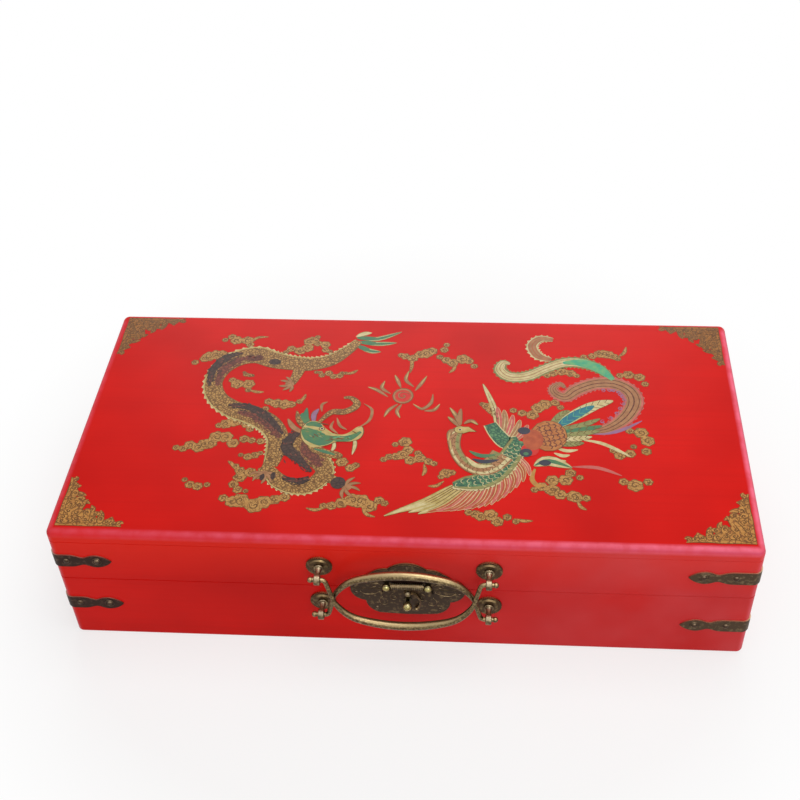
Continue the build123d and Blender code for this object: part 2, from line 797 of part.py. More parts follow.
def build_bail(height, lean, hangs):
    """A bail on two pins. Lean tips its crown away from the case."""
    rise = Vector(0, -sin(radians(lean)), -cos(radians(lean)) if hangs else cos(radians(lean)))
    across = Vector(1, 0, 0)
    origin = Vector(handle_x, -half_depth - pivot_standoff, height)
    plane = Plane(origin=origin, x_dir=across, z_dir=across.cross(rise))
    crown_centre, shoulder_centre, leg_top, leg_foot, pin_start = bail_points()
    with BuildPart() as bail:
        for spot, heading, radius in bail_stations():
            section = Plane(origin=plane.from_local_coords((*spot, 0)), x_dir=plane.z_dir,
                            z_dir=across * heading[0] + rise * heading[1])
            with BuildSketch(section):
                Circle(radius)
        loft()
        for side in (-1, 1):
            with BuildLine(plane) as leg:
                Line((side * leg_top[0], leg_top[1]), (side * leg_foot[0], leg_foot[1]))
                if side > 0:
                    CenterArc((pin_start[0], bail_bend_radius), bail_bend_radius,
                              270 - bail_leg_turn, bail_leg_turn)
                else:
                    CenterArc((-pin_start[0], bail_bend_radius), bail_bend_radius,
                              270, bail_leg_turn)
            heading = (cos(radians(bail_leg_turn)), -sin(radians(bail_leg_turn)))
            start = Plane(origin=plane.from_local_coords((side * leg_top[0], leg_top[1], 0)),
                          x_dir=plane.z_dir, z_dir=across * (side * heading[0]) + rise * heading[1])
            with BuildSketch(start) as wire:
                Circle(bail_wire / 2)
            sweep(wire.sketch, path=leg.wire())
            revolve(bail_end_profile(plane, side, pin_start[0]), Axis(origin, across))
    return bail


save(build_bail(upper_post_height, upper_bail_lean_angle, True), "upper_handle")
save(build_bail(lower_post_height, lower_bail_lean_angle, False), "lower_handle")


# Rear hinges
def knuckle_spans(offset):
    """Every second knuckle along the barrel, from the first (0) or second (1)."""
    pitch = hinge_length / hinge_knuckles
    return [(-hinge_length / 2 + index * pitch + hinge_knuckle_gap / 2, pitch - hinge_knuckle_gap)
            for index in range(offset, hinge_knuckles, 2)]


def build_leaf(x, upper):
    """A flat leaf on the rear face with rolled knuckles round the pin."""
    sign = 1 if upper else -1
    own, others = knuckle_spans(1 if upper else 0), knuckle_spans(0 if upper else 1)
    axis_point = (half_depth + hinge_standoff, seam)
    with BuildPart() as leaf:
        with BuildSketch(rear) as blade:
            with Locations((-x, seam + sign * hinge_leaf_height / 2)):
                Rectangle(hinge_length, hinge_leaf_height)
        extrude(blade.sketch, amount=hinge_leaf_thickness)
        tips = leaf.edges().filter_by(Axis.Y)
        far = tips.sort_by(Axis.Z)[-2:] if upper else tips.sort_by(Axis.Z)[:2]
        fillet(far, hinge_leaf_radius)
        for start, length in others:
            with BuildSketch(Plane.YZ.offset(x + start - hinge_knuckle_gap)) as gap:
                with Locations(axis_point):
                    Circle(hinge_barrel_diameter / 2 + hinge_knuckle_gap)
            extrude(gap.sketch, amount=length + 2 * hinge_knuckle_gap, mode=Mode.SUBTRACT)
        for start, length in own:
            with BuildSketch(Plane.YZ.offset(x + start)) as roll:
                with Locations(axis_point):
                    Circle(hinge_barrel_diameter / 2)
            extrude(roll.sketch, amount=length)
        with BuildSketch(Plane.YZ.offset(x - hinge_length / 2)) as bore:
            with Locations(axis_point):
                Circle(bore_diameter / 2)
        extrude(bore.sketch, amount=hinge_length, mode=Mode.SUBTRACT)
        points = [p for p in hinge_screw_points(sign) if abs(p[0] + x) < hinge_length / 2]
        drill(rear.offset(hinge_leaf_thickness), points, hinge_screw_shank, hinge_leaf_thickness)
    return leaf


def build_hinge_pin(x):
    """A pin with a flat head at each end, a running fit in the knuckles."""
    axis_point = (half_depth + hinge_standoff, seam)
    with BuildPart() as pin:
        with BuildSketch(Plane.YZ.offset(x - hinge_length / 2)) as shaft:
            with Locations(axis_point):
                Circle(hinge_pin_diameter / 2)
        extrude(shaft.sketch, amount=hinge_length)
        for side in (-1, 1):
            with BuildSketch(Plane.YZ.offset(x + side * hinge_length / 2)) as head:
                with Locations(axis_point):
                    Circle(hinge_pin_head_diameter / 2)
            extrude(head.sketch, amount=side * hinge_pin_head)
    return pin


def build_screws(points):
    """Dome-headed screws with a slot across the head."""
    profile = nail_profile(hinge_screw_head, hinge_screw_head_height, hinge_screw_shank,
                           hinge_screw_length, hinge_leaf_thickness)
    slot_floor = hinge_leaf_thickness + hinge_screw_head_height - hinge_screw_slot_depth
    with BuildPart(mode=Mode.PRIVATE) as screw:
        revolve(profile, Axis.Z)
        with BuildSketch(Plane.XY.offset(slot_floor)) as slot:
            Rectangle(hinge_screw_head, hinge_screw_slot)
        extrude(slot.sketch, amount=hinge_screw_head_height, mode=Mode.SUBTRACT)
    with BuildPart() as screws:
        with Locations(*[on_face(rear, point).location for point in points]):
            add(screw.part)
    return screws


for side, x in hinge_xs.items():
    save(build_leaf(x, False), f"base_hinge_leaf_{side}")
    save(build_leaf(x, True), f"lid_hinge_leaf_{side}")
    save(build_hinge_pin(x), f"hinge_pin_{side}")
save(build_screws(hinge_screw_points(-1)), "base_hinge_screws")
save(build_screws(hinge_screw_points(1)), "lid_hinge_screws")
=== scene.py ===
import logging
import math
import random
from dataclasses import dataclass, field
from enum import Enum
from typing import NamedTuple

import bpy
from mathutils import Matrix, Vector


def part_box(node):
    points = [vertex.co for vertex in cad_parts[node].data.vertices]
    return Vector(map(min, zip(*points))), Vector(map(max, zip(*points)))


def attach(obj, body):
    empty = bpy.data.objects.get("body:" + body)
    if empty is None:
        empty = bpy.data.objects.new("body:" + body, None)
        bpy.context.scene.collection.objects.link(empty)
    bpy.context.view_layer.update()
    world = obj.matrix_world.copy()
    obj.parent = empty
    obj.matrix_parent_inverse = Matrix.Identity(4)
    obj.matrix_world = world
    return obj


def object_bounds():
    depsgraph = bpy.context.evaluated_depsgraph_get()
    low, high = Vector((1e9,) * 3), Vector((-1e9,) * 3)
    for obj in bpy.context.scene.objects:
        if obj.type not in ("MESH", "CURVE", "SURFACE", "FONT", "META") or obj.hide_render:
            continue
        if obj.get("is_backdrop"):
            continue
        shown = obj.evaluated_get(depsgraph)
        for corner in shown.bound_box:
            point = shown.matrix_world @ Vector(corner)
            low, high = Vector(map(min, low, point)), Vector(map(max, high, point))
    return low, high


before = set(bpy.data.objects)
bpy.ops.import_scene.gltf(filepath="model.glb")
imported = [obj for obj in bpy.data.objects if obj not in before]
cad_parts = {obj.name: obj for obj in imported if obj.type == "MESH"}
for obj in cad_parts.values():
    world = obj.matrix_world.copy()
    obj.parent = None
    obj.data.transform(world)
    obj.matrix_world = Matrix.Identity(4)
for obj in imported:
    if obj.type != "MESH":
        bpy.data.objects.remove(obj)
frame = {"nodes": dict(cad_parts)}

# A red lacquered carrying case with a painted lid. X runs to the right, Y to the back and Z up.
# Sizes are in millimetres; a name that ends in _m holds metres, and what the frame gives is in
# metres too. The points of the lid's painting are pixels of the photograph, which the camera's
# place turns into places on the lid.

MM = 0.001
CAD_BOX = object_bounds()
EVEN = (1.0, 1.0, 1.0)

Point = tuple[float, float]
Triple = tuple[float, float, float]
Path = tuple[Point, ...]
Paths = tuple[Path, ...]
Widths = tuple[float, ...]
Line = list[Vector]
Face = tuple[int, ...]
Piece = bpy.types.Object
Material = bpy.types.Material
World = bpy.types.World
Holder = Material | World
Socket = bpy.types.NodeSocket

log = logging.getLogger("case")


def linear(colour: str) -> tuple[float, float, float, float]:
    """Turn an sRGB hex colour into linear light.

    Args:
        colour: The colour as "#rrggbb".

    Returns:
        Red, green, blue and an alpha of one.
    """
    channels = [int(colour[start:start + 2], 16) / 255 for start in (1, 3, 5)]
    red, green, blue = [c / 12.92 if c <= 0.04045 else ((c + 0.055) / 1.055) ** 2.4 for c in channels]
    return red, green, blue, 1.0


def add_node(material: Holder, kind: str, settings: dict | None = None, links: dict | None = None
             ) -> bpy.types.Node:
    """Add one shader node with its settings and the links into it.

    Args:
        material: The material or world whose node tree gets the node.
        kind: The node's type name without "ShaderNode".
        settings: Properties or input sockets, by name or number, and their values.
        links: Input sockets, by name or number, and the output socket that feeds each.

    Returns:
        The new node.
    """
    tree = material.node_tree
    node = tree.nodes.new(f"ShaderNode{kind}")
    for name, value in (settings or {}).items():
        if isinstance(name, str) and name in node.bl_rna.properties:
            setattr(node, name, value)
        else:
            node.inputs[name].default_value = value
    for name, source in (links or {}).items():
        tree.links.new(source, node.inputs[name])
    return node


def new_material(name: str) -> Material:
    """Make an empty material that uses nodes.

    Args:
        name: Its name.

    Returns:
        The material.
    """
    material = bpy.data.materials.new(name)
    material.use_nodes = True
    material.node_tree.nodes.clear()
    return material


def add_mesh(name: str, points: Line, faces: list[Face], material: Material) -> Piece:
    """Make a mesh in one finish and link it to the scene.

    Args:
        name: The piece's name.
        points: Its points, in metres.
        faces: The point numbers of each face.
        material: Its finish.

    Returns:
        The new object.
    """
    mesh = bpy.data.meshes.new(name)
    mesh.from_pydata([tuple(point) for point in points], [], faces)
    mesh.materials.append(material)
    piece = bpy.data.objects.new(name, mesh)
    bpy.context.collection.objects.link(piece)
    return piece


def object_point(material: Material, stretch: Triple = EVEN) -> Socket:
    """Give the object's own coordinates, stretched along each axis.

    Args:
        material: The material that reads the coordinates.
        stretch: The factor along X, Y and Z.

    Returns:
        The socket with the stretched point.
    """
    place = add_node(material, "TexCoord")
    scaled = add_node(material, "Mapping", {"Scale": stretch}, {"Vector": place.outputs["Object"]})
    return scaled.outputs["Vector"]


def noise(material: Material, size_mm: float, detail: float, stretch: Triple = EVEN) -> Socket:
    """Give a soft noise whose blotches have a real size.

    Args:
        material: The material that gets the noise.
        size_mm: The width of one blotch.
        detail: How many finer layers are added.
        stretch: The factor along X, Y and Z; a small one draws the blotches out.

    Returns:
        The socket with values around one half.
    """
    texture = add_node(material, "TexNoise", {"Scale": 1 / (size_mm * MM), "Detail": detail},
                       {"Vector": object_point(material, stretch)})
    return texture.outputs["Fac"]


def ramp(material: Material, source: Socket, low: float, high: float, floor: float = 0.0, top: float = 1.0
         ) -> Socket:
    """Stretch part of a value's range over another range and clamp it.

    Args:
        material: The material.
        source: The value.
        low: The value that becomes floor.
        high: The value that becomes top.
        floor: The lowest result.
        top: The highest result.

    Returns:
        The socket with the result.
    """
    node = add_node(material, "MapRange",
                    {"From Min": low, "From Max": high, "To Min": floor, "To Max": top}, {"Value": source})
    return node.outputs["Result"]


def blend(material: Material, factor: Socket, first: str | Socket, second: str | Socket) -> Socket:
    """Mix two colours, each an sRGB hex value or a socket.

    Args:
        material: The material.
        factor: The share of the second colour.
        first: The colour at factor zero.
        second: The colour at factor one.

    Returns:
        The socket with the mixed colour.
    """
    # The mix node has sockets of its own for each kind of value; these are the ones for colours
    first_slot, second_slot, result_slot = 6, 7, 2
    settings, links = {"data_type": "RGBA"}, {0: factor}
    for slot, colour in ((first_slot, first), (second_slot, second)):
        if isinstance(colour, str):
            settings[slot] = linear(colour)
        else:
            links[slot] = colour
    return add_node(material, "Mix", settings, links).outputs[result_slot]


def close_material(material: Material, shader: dict, links: dict, bump: Socket | None = None,
                   depth_mm: float = 0.0) -> Material:
    """Finish a material with one principled shader.

    Args:
        material: The material.
        shader: The shader's own settings.
        links: The sockets that feed it.
        bump: A height from zero to one, or None.
        depth_mm: The real depth of that height.

    Returns:
        The material.
    """
    if bump:
        node = add_node(material, "Bump", {"Strength": 1.0, "Distance": depth_mm * MM}, {"Height": bump})
        links = {**links, "Normal": node.outputs["Normal"]}
    surface = add_node(material, "BsdfPrincipled", shader, links)
    add_node(material, "OutputMaterial", {}, {"Surface": surface.outputs["BSDF"]})
    return material


@dataclass(frozen=True)
class RubbedRedLacquer:
    """Red lacquer brushed on wood and rubbed down: deep even red, faint streaks, pink top edges.

    The rubbing takes away most of the mirror gloss, so the lamps show as a soft broad sheen. The
    brush's streaks are drawn about ten times as coarse as its hairs leave them, so that they show.
    Light is also painted into its colour: a painted sheen that makes the lid's upright sides lighter
    towards the top, a milky pink painted reflection on the upright sides towards the right, and pink
    top edges that are partly wear and partly a painted highlight, with painted shade in their rounding.
    """

    name: str = "rubbed_red_lacquer"
    red: str = "#d4150d"
    deep_red: str = "#c0100a"
    # Painted sheen: the lid's upright sides are painted this lighter red towards the top.
    upper_sheen_red: str = "#f2301e"
    # Painted reflection: this milky pink lies on the upright sides, more towards the right.
    painted_reflection_pink: str = "#cc4c50"
    # The top edges' pink is partly wear and partly a painted highlight; the mauve is painted shade where
    # their rounding turns.
    wear_and_highlight_pink: str = "#f4708a"
    wear_and_shade_mauve: str = "#d2506e"
    ior: float = 1.16
    roughness: float = 0.34
    cloud_mm: float = 70.0
    streak_mm: float = 2.6
    streak_stretch: Triple = (0.02, 1.0, 1.0)
    streak_depth_mm: float = 0.012
    streak_share: float = 0.3
    upper_sheen_share: float = 0.5
    reflection_patch_mm: float = 45.0
    reflection_share: float = 0.6
    reflection_from_mm: float = -30.0
    reflection_to_mm: float = 150.0
    rub_mm: float = 9.0
    # Where the top edges' wear and painted highlight reach, and how they fade.
    wear_and_highlight_reach_mm: float = 5.4
    wear_and_highlight_fade_mm: float = 2.6
    wear_and_highlight_fade_down_mm: float = 4.2
    wear_and_highlight_left_share: float = 0.3
    wear_and_highlight_rear_share: float = 0.1
    wear_and_highlight_corner_share: float = 0.25

    def facing(self, made: Material) -> tuple[Socket, Socket, Socket]:
        """Find which way the surface looks.

        Args:
            made: The lacquer's material.

        Returns:
            How squarely it looks sideways, up or down, and along any one axis.
        """
        place = add_node(made, "TexCoord")
        absolute = add_node(made, "VectorMath", {"operation": "ABSOLUTE"}, {0: place.outputs["Normal"]})
        parts = add_node(made, "SeparateXYZ", {}, {0: absolute.outputs[0]})
        level = add_node(made, "Math", {"operation": "MAXIMUM"}, {0: parts.outputs[0], 1: parts.outputs[1]})
        square = add_node(made, "Math", {"operation": "MAXIMUM"}, {0: level.outputs[0], 1: parts.outputs[2]})
        return level.outputs[0], parts.outputs[2], square.outputs[0]

    def rim(self, made: Material) -> Socket:
        """Find the lid's rounded top edge, where wear and a painted highlight lie, most at the right and the
        front, least at the back.

        Args:
            made: The lacquer's material.

        Returns:
            The share of wear and painted highlight.
        """
        low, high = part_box("lid_top_board")
        reach, fade = self.wear_and_highlight_reach_mm * MM, self.wear_and_highlight_fade_mm * MM
        foot, fade_down = high.z - reach, self.wear_and_highlight_fade_down_mm * MM
        place = add_node(made, "TexCoord")
        centred = add_node(made, "VectorMath", {"operation": "SUBTRACT", 1: (low + high) / 2},
                           {0: place.outputs["Object"]})
        outward = add_node(made, "VectorMath", {"operation": "ABSOLUTE"}, {0: centred.outputs[0]})
        inset = add_node(made, "VectorMath", {"operation": "SUBTRACT", 1: (high - low) / 2},
                         {0: outward.outputs[0]})
        parts = add_node(made, "SeparateXYZ", {}, {0: inset.outputs[0]})
        border = add_node(made, "Math", {"operation": "MAXIMUM"}, {0: parts.outputs[0], 1: parts.outputs[1]})
        point = add_node(made, "SeparateXYZ", {}, {0: place.outputs["Object"]})
        edge = add_node(made, "Math", {"operation": "MULTIPLY"},
                        {0: ramp(made, border.outputs[0], -reach, fade - reach),
                         1: ramp(made, point.outputs[2], foot, foot + fade_down)})
        # The wear and the painted highlight are strongest at the right and the front.
        rightward = ramp(made, point.outputs[0], low.x + reach, high.x - 2 * reach, self.wear_and_highlight_left_share, 1.0)
        forward = ramp(made, point.outputs[1], high.y - 2 * reach, high.y - reach, 1.0, self.wear_and_highlight_rear_share)
        towards_right_and_front = add_node(made, "Math", {"operation": "MULTIPLY"}, {0: rightward, 1: forward})
        worn = add_node(made, "Math", {"operation": "MULTIPLY"}, {0: edge.outputs[0], 1: towards_right_and_front.outputs[0]})
        return worn.outputs[0]

    def body(self, made: Material, streaks: Socket, level: Socket) -> Socket:
        """Mix the red: deeper in clouds and streaks, with a painted sheen lighter towards the lid's rim
        and a milky pink painted reflection on the upright sides, in patches, more towards the right.

        Args:
            made: The lacquer's material.
            streaks: The brush's streaks.
            level: How squarely the surface looks sideways.

        Returns:
            The colour before the pink of the top edges is mixed in.
        """
        clouds = ramp(made, noise(made, self.cloud_mm, 2.0), 0.3, 0.7)
        colour = blend(made, clouds, self.red, self.deep_red)
        colour = blend(made, ramp(made, streaks, 0.45, 0.8, 0.0, self.streak_share), colour, self.deep_red)
        place = add_node(made, "TexCoord")
        point = add_node(made, "SeparateXYZ", {}, {0: place.outputs["Object"]})
        seam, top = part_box("lid_front_rail")[0].z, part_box("lid_top_board")[0].z
        # Painted sheen: the lid's upright sides turn lighter towards the top.
        upward = ramp(made, point.outputs[2], seam, top, 0.0, self.upper_sheen_share)
        thin = add_node(made, "Math", {"operation": "MULTIPLY"}, {0: upward, 1: level})
        colour = blend(made, thin.outputs[0], colour, self.upper_sheen_red)
        # Painted reflection: milky pink patches on the upright sides, growing towards the right.
        across = ramp(made, point.outputs[0], self.reflection_from_mm * MM, self.reflection_to_mm * MM, 0.0,
                      self.reflection_share)
        reflection_across = add_node(made, "Math", {"operation": "MULTIPLY"}, {0: across, 1: level})
        patches = ramp(made, noise(made, self.reflection_patch_mm, 2.0), 0.3, 0.7, 0.35, 1.0)
        uneven = add_node(made, "Math", {"operation": "MULTIPLY"}, {0: reflection_across.outputs[0], 1: patches})
        return blend(made, uneven.outputs[0], colour, self.painted_reflection_pink)

    def material(self) -> Material:
        """Build the lacquer.

        Returns:
            The material.
        """
        made = new_material(self.name)
        level, upward, square = self.facing(made)
        streaks = noise(made, self.streak_mm, 2.0, self.streak_stretch)
        # Pink where the edges' rounding faces up or sideways, painted shade in mauve where it turns between.
        slope = add_node(made, "Math", {"operation": "PINGPONG", 1: 0.5}, {0: upward})
        mauve = ramp(made, slope.outputs[0], 0.15, 0.42, 0.0, 0.75)
        pink = blend(made, mauve, self.wear_and_highlight_pink, self.wear_and_shade_mauve)
        # The rounded upright corners get the same pink, partly wear and partly painted highlight.
        upright = ramp(made, upward, 0.3, 0.1, 0.0, self.wear_and_highlight_corner_share)
        rounded = ramp(made, square, 0.99, 0.86)
        corner = add_node(made, "Math", {"operation": "MULTIPLY"}, {0: rounded, 1: upright})
        where = add_node(made, "Math", {"operation": "MAXIMUM"}, {0: self.rim(made), 1: corner.outputs[0]})
        patches = ramp(made, noise(made, self.rub_mm, 4.0), 0.35, 0.6, 0.55, 0.95)
        rubbed = add_node(made, "Math", {"operation": "MULTIPLY"}, {0: where.outputs[0], 1: patches})
        colour = blend(made, rubbed.outputs[0], self.body(made, streaks, level), pink)
        return close_material(made, {"IOR": self.ior, "Roughness": self.roughness}, {"Base Color": colour},
                              streaks, self.streak_depth_mm)


@dataclass(frozen=True)
class AgedBrass:
    """Stamped or drawn brass, browned in a bath and rubbed by hands: dark flats and gold patches, and a
    painted highlight that makes every upward-facing surface paler.

    Where an unshaded front is given, the metal behind it, towards the case, gets painted shade.
    """

    name: str
    brown: str
    gold: str
    # The painted highlight's colour, mixed into every upward-facing surface.
    edge: str
    rubbed_share: float
    roughness: float
    patch_mm: float = 2.4
    relief_mm: float = 0.05
    # Painted shade: from this depth back towards the case the metal is painted darker.
    unshaded_front_mm: float | None = None
    shade_fade_mm: float = 2.0
    painted_shade: str = "#2e2418"

    def material(self) -> Material:
        """Build the brass.

        Returns:
            The material.
        """
        made = new_material(self.name)
        patches = noise(made, self.patch_mm, 4.0)
        place = add_node(made, "TexCoord")
        facing = add_node(made, "SeparateXYZ", {}, {0: place.outputs["Normal"]})
        # Painted highlight: the surfaces that face up are paler.
        upper = ramp(made, facing.outputs[2], 0.5, 0.98)
        gold_from = 0.62 - 0.3 * self.rubbed_share
        patina = ramp(made, patches, gold_from, gold_from + 0.24)
        colour = blend(made, upper, blend(made, patina, self.brown, self.gold), self.edge)
        # Painted shade: darker towards the case, behind the unshaded front.
        if self.unshaded_front_mm is not None:
            point = add_node(made, "SeparateXYZ", {}, {0: place.outputs["Object"]})
            shaded_mm = self.unshaded_front_mm + self.shade_fade_mm
            behind = ramp(made, point.outputs[1], self.unshaded_front_mm * MM, shaded_mm * MM, 0.0, 0.9)
            colour = blend(made, behind, colour, self.painted_shade)
        roughness = ramp(made, patina, 0.0, 1.0, self.roughness + 0.12, self.roughness)
        return close_material(made, {"Metallic": 1.0}, {"Base Color": colour, "Roughness": roughness},
                              patches, self.relief_mm)


@dataclass(frozen=True)
class WoolFelt:
    """Dark red felt pressed from wool: no gloss, a short nap and a soft sheen at a flat angle.

    Its tufts are drawn three times as coarse as real ones, so that they show in a view of the whole case.
    """

    name: str = "wool_felt"
    red: str = "#5a0f14"
    light_red: str = "#7a1b20"
    nap_mm: float = 2.0
    nap_depth_mm: float = 0.5
    roughness: float = 0.95
    sheen: float = 0.25
    sheen_roughness: float = 0.5

    def material(self) -> Material:
        """Build the felt.

        Returns:
            The material.
        """
        made = new_material(self.name)
        nap = noise(made, self.nap_mm, 5.0)
        colour = blend(made, ramp(made, nap, 0.35, 0.7), self.red, self.light_red)
        shader = {"Roughness": self.roughness, "Sheen Weight": self.sheen,
                  "Sheen Roughness": self.sheen_roughness}
        return close_material(made, shader, {"Base Color": colour}, nap, self.nap_depth_mm)


class Drawing(Enum):
    """What the painter's finest brush draws into a colour."""

    NONE = "none"
    CURLS = "curls"
    SCALES = "scales"


@dataclass(frozen=True)
class BrushedPaint:
    """Oil paint brushed on lacquer and sealed: uneven strokes under the lacquer's soft gloss.

    Fine dark curls or scales are drawn into the gilt; they give it the mottled look of old work.
    """

    name: str
    colour: str
    shade: str
    drawing: Drawing = Drawing.NONE
    line: str = "#6b4318"
    cell_mm: float = 2.6
    patch_mm: float = 4.0
    ior: float = 1.28
    roughness: float = 0.4

    def material(self) -> Material:
        """Build the paint.

        Returns:
            The material.
        """
        made = new_material(self.name)
        patches = ramp(made, noise(made, self.patch_mm, 3.0), 0.35, 0.68)
        colour = blend(made, patches, self.colour, self.shade)
        if self.drawing is Drawing.CURLS:
            wander = add_node(made, "Math", {"operation": "SUBTRACT", 1: 0.5},
                              {0: noise(made, self.cell_mm, 1.0)})
            away = add_node(made, "Math", {"operation": "ABSOLUTE"}, {0: wander.outputs[0]})
            drawn = ramp(made, away.outputs[0], 0.02, 0.05, 0.85, 0.0)
            colour = blend(made, drawn, colour, self.line)
        if self.drawing is Drawing.SCALES:
            cells = add_node(made, "TexVoronoi",
                             {"feature": "DISTANCE_TO_EDGE", "Scale": 1 / (self.cell_mm * MM)},
                             {"Vector": object_point(made)})
            drawn = ramp(made, cells.outputs["Distance"], 0.05, 0.2, 0.9, 0.0)
            colour = blend(made, drawn, colour, self.line)
        return close_material(made, {"IOR": self.ior, "Roughness": self.roughness}, {"Base Color": colour})


Finish = RubbedRedLacquer | AgedBrass | WoolFelt | BrushedPaint


class Paint(Enum):
    """The painter's colours, each the finish it is mixed as."""

    CLOUD_GOLD = BrushedPaint("gold_paint_with_curls", "#bb8c4c", "#a8783c", Drawing.CURLS)
    SCALE_GOLD = BrushedPaint("gold_paint_with_scales", "#b98e4e", "#a0743c", Drawing.SCALES, "#5c3a17", 2.1)
    RED_GOLD = BrushedPaint("red_gold_paint", "#b8783e", "#a8622f")
    GREEN_SCALES = BrushedPaint("green_paint_with_scales", "#5c8458", "#4a7650", Drawing.SCALES, "#1f4c3c")
    GOLD = BrushedPaint("gold_paint", "#b8863f", "#a06f33")
    PALE_GOLD = BrushedPaint("pale_gold_paint", "#c2ab6e", "#a9924f")
    LEAF = BrushedPaint("leaf_gold_with_scrolls", "#bf8743", "#aa7235", Drawing.CURLS, "#6e3c1c", 3.4)
    # Painted shade: the same leaf gold, darker, for the two corners at the back.
    SHADED_LEAF = BrushedPaint("leaf_gold_with_painted_shade", "#9c6428", "#84501c", Drawing.CURLS,
                              "#4e2a0a", 3.4)
    UMBER = BrushedPaint("umber_paint", "#5f3d18", "#6b481f")
    DARK = BrushedPaint("dark_umber_paint", "#4a3226", "#3c2722", Drawing.SCALES, "#2a1814", 3.0)
    MAROON = BrushedPaint("maroon_paint", "#83442f", "#733428", Drawing.SCALES, "#4c261c")
    RUST = BrushedPaint("rust_paint", "#b4552f", "#9f4526")
    GREEN = BrushedPaint("green_paint", "#3c6e50", "#527848")
    SEA_GREEN = BrushedPaint("sea_green_paint", "#3d9a76", "#6aa56c")
    BLUE = BrushedPaint("blue_paint", "#24607a", "#2b7a80")
    NAVY = BrushedPaint("navy_paint", "#2c2f3c", "#3a3540")
    OLIVE = BrushedPaint("olive_paint", "#8d8a52", "#757544")
    CREAM = BrushedPaint("cream_paint", "#cfc091", "#b8a66e")
    TAN = BrushedPaint("tan_paint", "#a87850", "#94643f")
    ROSE = BrushedPaint("rose_paint", "#c4635a", "#b4554c")
    MAUVE = BrushedPaint("mauve_paint", "#94688a", "#8a6478")
    VERMILION = BrushedPaint("vermilion_paint", "#cc2a20", "#c0241a")
    # Painted shadow: a near-black patch on a plate where a shadow falls.
    PAINTED_SHADOW = BrushedPaint("painted_shadow_black", "#1c100c", "#2a1812")


def material_of(finish: Finish) -> Material:
    """Give a finish's material, which is made the first time that it is asked for."""
    return bpy.data.materials.get(finish.name) or finish.material()


@dataclass(frozen=True)
class Viewpoint:
    """Where the photograph was taken from, with its lens, and what a pixel sees on the lid."""

    place_mm: Triple = (58.064, -614.074, 680.295)
    turn_deg: Triple = (133.5888, 3.5883, 1.2601)
    focal_px: float = 1238.0
    centre_px: Point = (417.81, 426.0)
    frame_px: float = 800.0
    sensor_mm: float = 36.0
    nearest_mm: float = 10.0

    def facing(self) -> Matrix:
        """Give the turn from the case's axes to the camera's: right, down and forward."""
        about_x, about_y, about_z = (math.radians(angle) for angle in self.turn_deg)
        return (Matrix.Rotation(about_z, 3, "Z") @ Matrix.Rotation(about_y, 3, "Y")
                @ Matrix.Rotation(about_x, 3, "X"))

    def on_lid(self, pixel: Point, height_mm: float) -> Vector:
        """Find the point of a level plane that a pixel shows.

        Args:
            pixel: Right and down in the photograph.
            height_mm: The plane's height.

        Returns:
            The point's X and Y in millimetres.
        """
        across, down = [(pixel[i] - self.centre_px[i]) / self.focal_px for i in (0, 1)]
        ray = self.facing().transposed() @ Vector((across, down, 1.0))
        start = Vector(self.place_mm)
        return (start + ray * ((height_mm - start.z) / ray.z)).to_2d()

    def set_up(self) -> Piece:
        """Make the camera and look through it.

        Returns:
            The camera's object.
        """
        camera = bpy.data.cameras.new("studio_camera")
        camera.sensor_width = self.sensor_mm
        camera.lens = self.focal_px / self.frame_px * self.sensor_mm
        camera.shift_x = (self.frame_px / 2 - self.centre_px[0]) / self.frame_px
        camera.shift_y = (self.centre_px[1] - self.frame_px / 2) / self.frame_px
        camera.clip_start = self.nearest_mm * MM
        holder = bpy.data.objects.new("studio_camera", camera)
        facing = self.facing().transposed() @ Matrix.Diagonal((1.0, -1.0, -1.0))
        holder.matrix_world = Matrix.Translation(Vector(self.place_mm) * MM) @ facing.to_4x4()
        bpy.context.collection.objects.link(holder)
        bpy.context.scene.camera = holder
        return holder


VIEW = Viewpoint()


def curve_through(points: Line, closed: bool = False, steps: int = 5) -> Line:
    """Draw a smooth curve through points.

    Args:
        points: The points, in order.
        closed: Whether the curve comes back to its start.
        steps: How many pieces each stretch is cut into.

    Returns:
        The curve's points.
    """
    count = len(points)
    stretches = count if closed else count - 1
    drawn = []
    for index in range(stretches):
        if closed:
            before, start, end, after = (points[(index + shift) % count] for shift in (-1, 0, 1, 2))
        else:
            before, after = points[max(index - 1, 0)], points[min(index + 2, count - 1)]
            start, end = points[index], points[index + 1]
        for step in range(steps):
            t = step / steps
            drawn.append(0.5 * (2 * start + (end - before) * t
                                + (2 * before - 5 * start + 4 * end - after) * t * t
                                + (3 * start - before - 3 * end + after) * t ** 3))
    if not closed:
        drawn.append(points[-1].copy())
    return drawn


def left_of(points: Line, index: int) -> Vector:
    """Give the direction to the left of a line at one of its points.

    Args:
        points: The line.
        index: The point's number.

    Returns:
        A unit vector.
    """
    heading = points[min(index + 1, len(points) - 1)] - points[max(index - 1, 0)]
    heading.normalize()
    return Vector((-heading.y, heading.x))


def spread(values: tuple[float, ...], share: float) -> float:
    """Read a list of values as a broken line.

    Args:
        values: What it passes through, at even steps.
        share: Where it is read, from 0 to 1.

    Returns:
        Its value there.
    """
    if len(values) == 1:
        return values[0]
    place = share * (len(values) - 1)
    index = min(int(place), len(values) - 2)
    return values[index] + (values[index + 1] - values[index]) * (place - index)


def wider(widths: Widths, rim: float) -> Widths:
    """Give a band's widths with a rim added to each."""
    return tuple(width + rim for width in widths)


def shrunk(outline: Line, centre: Vector, inset: float) -> Line:
    """Give an outline's points moved towards a centre."""
    return [point + (centre - point).normalized() * inset for point in outline]


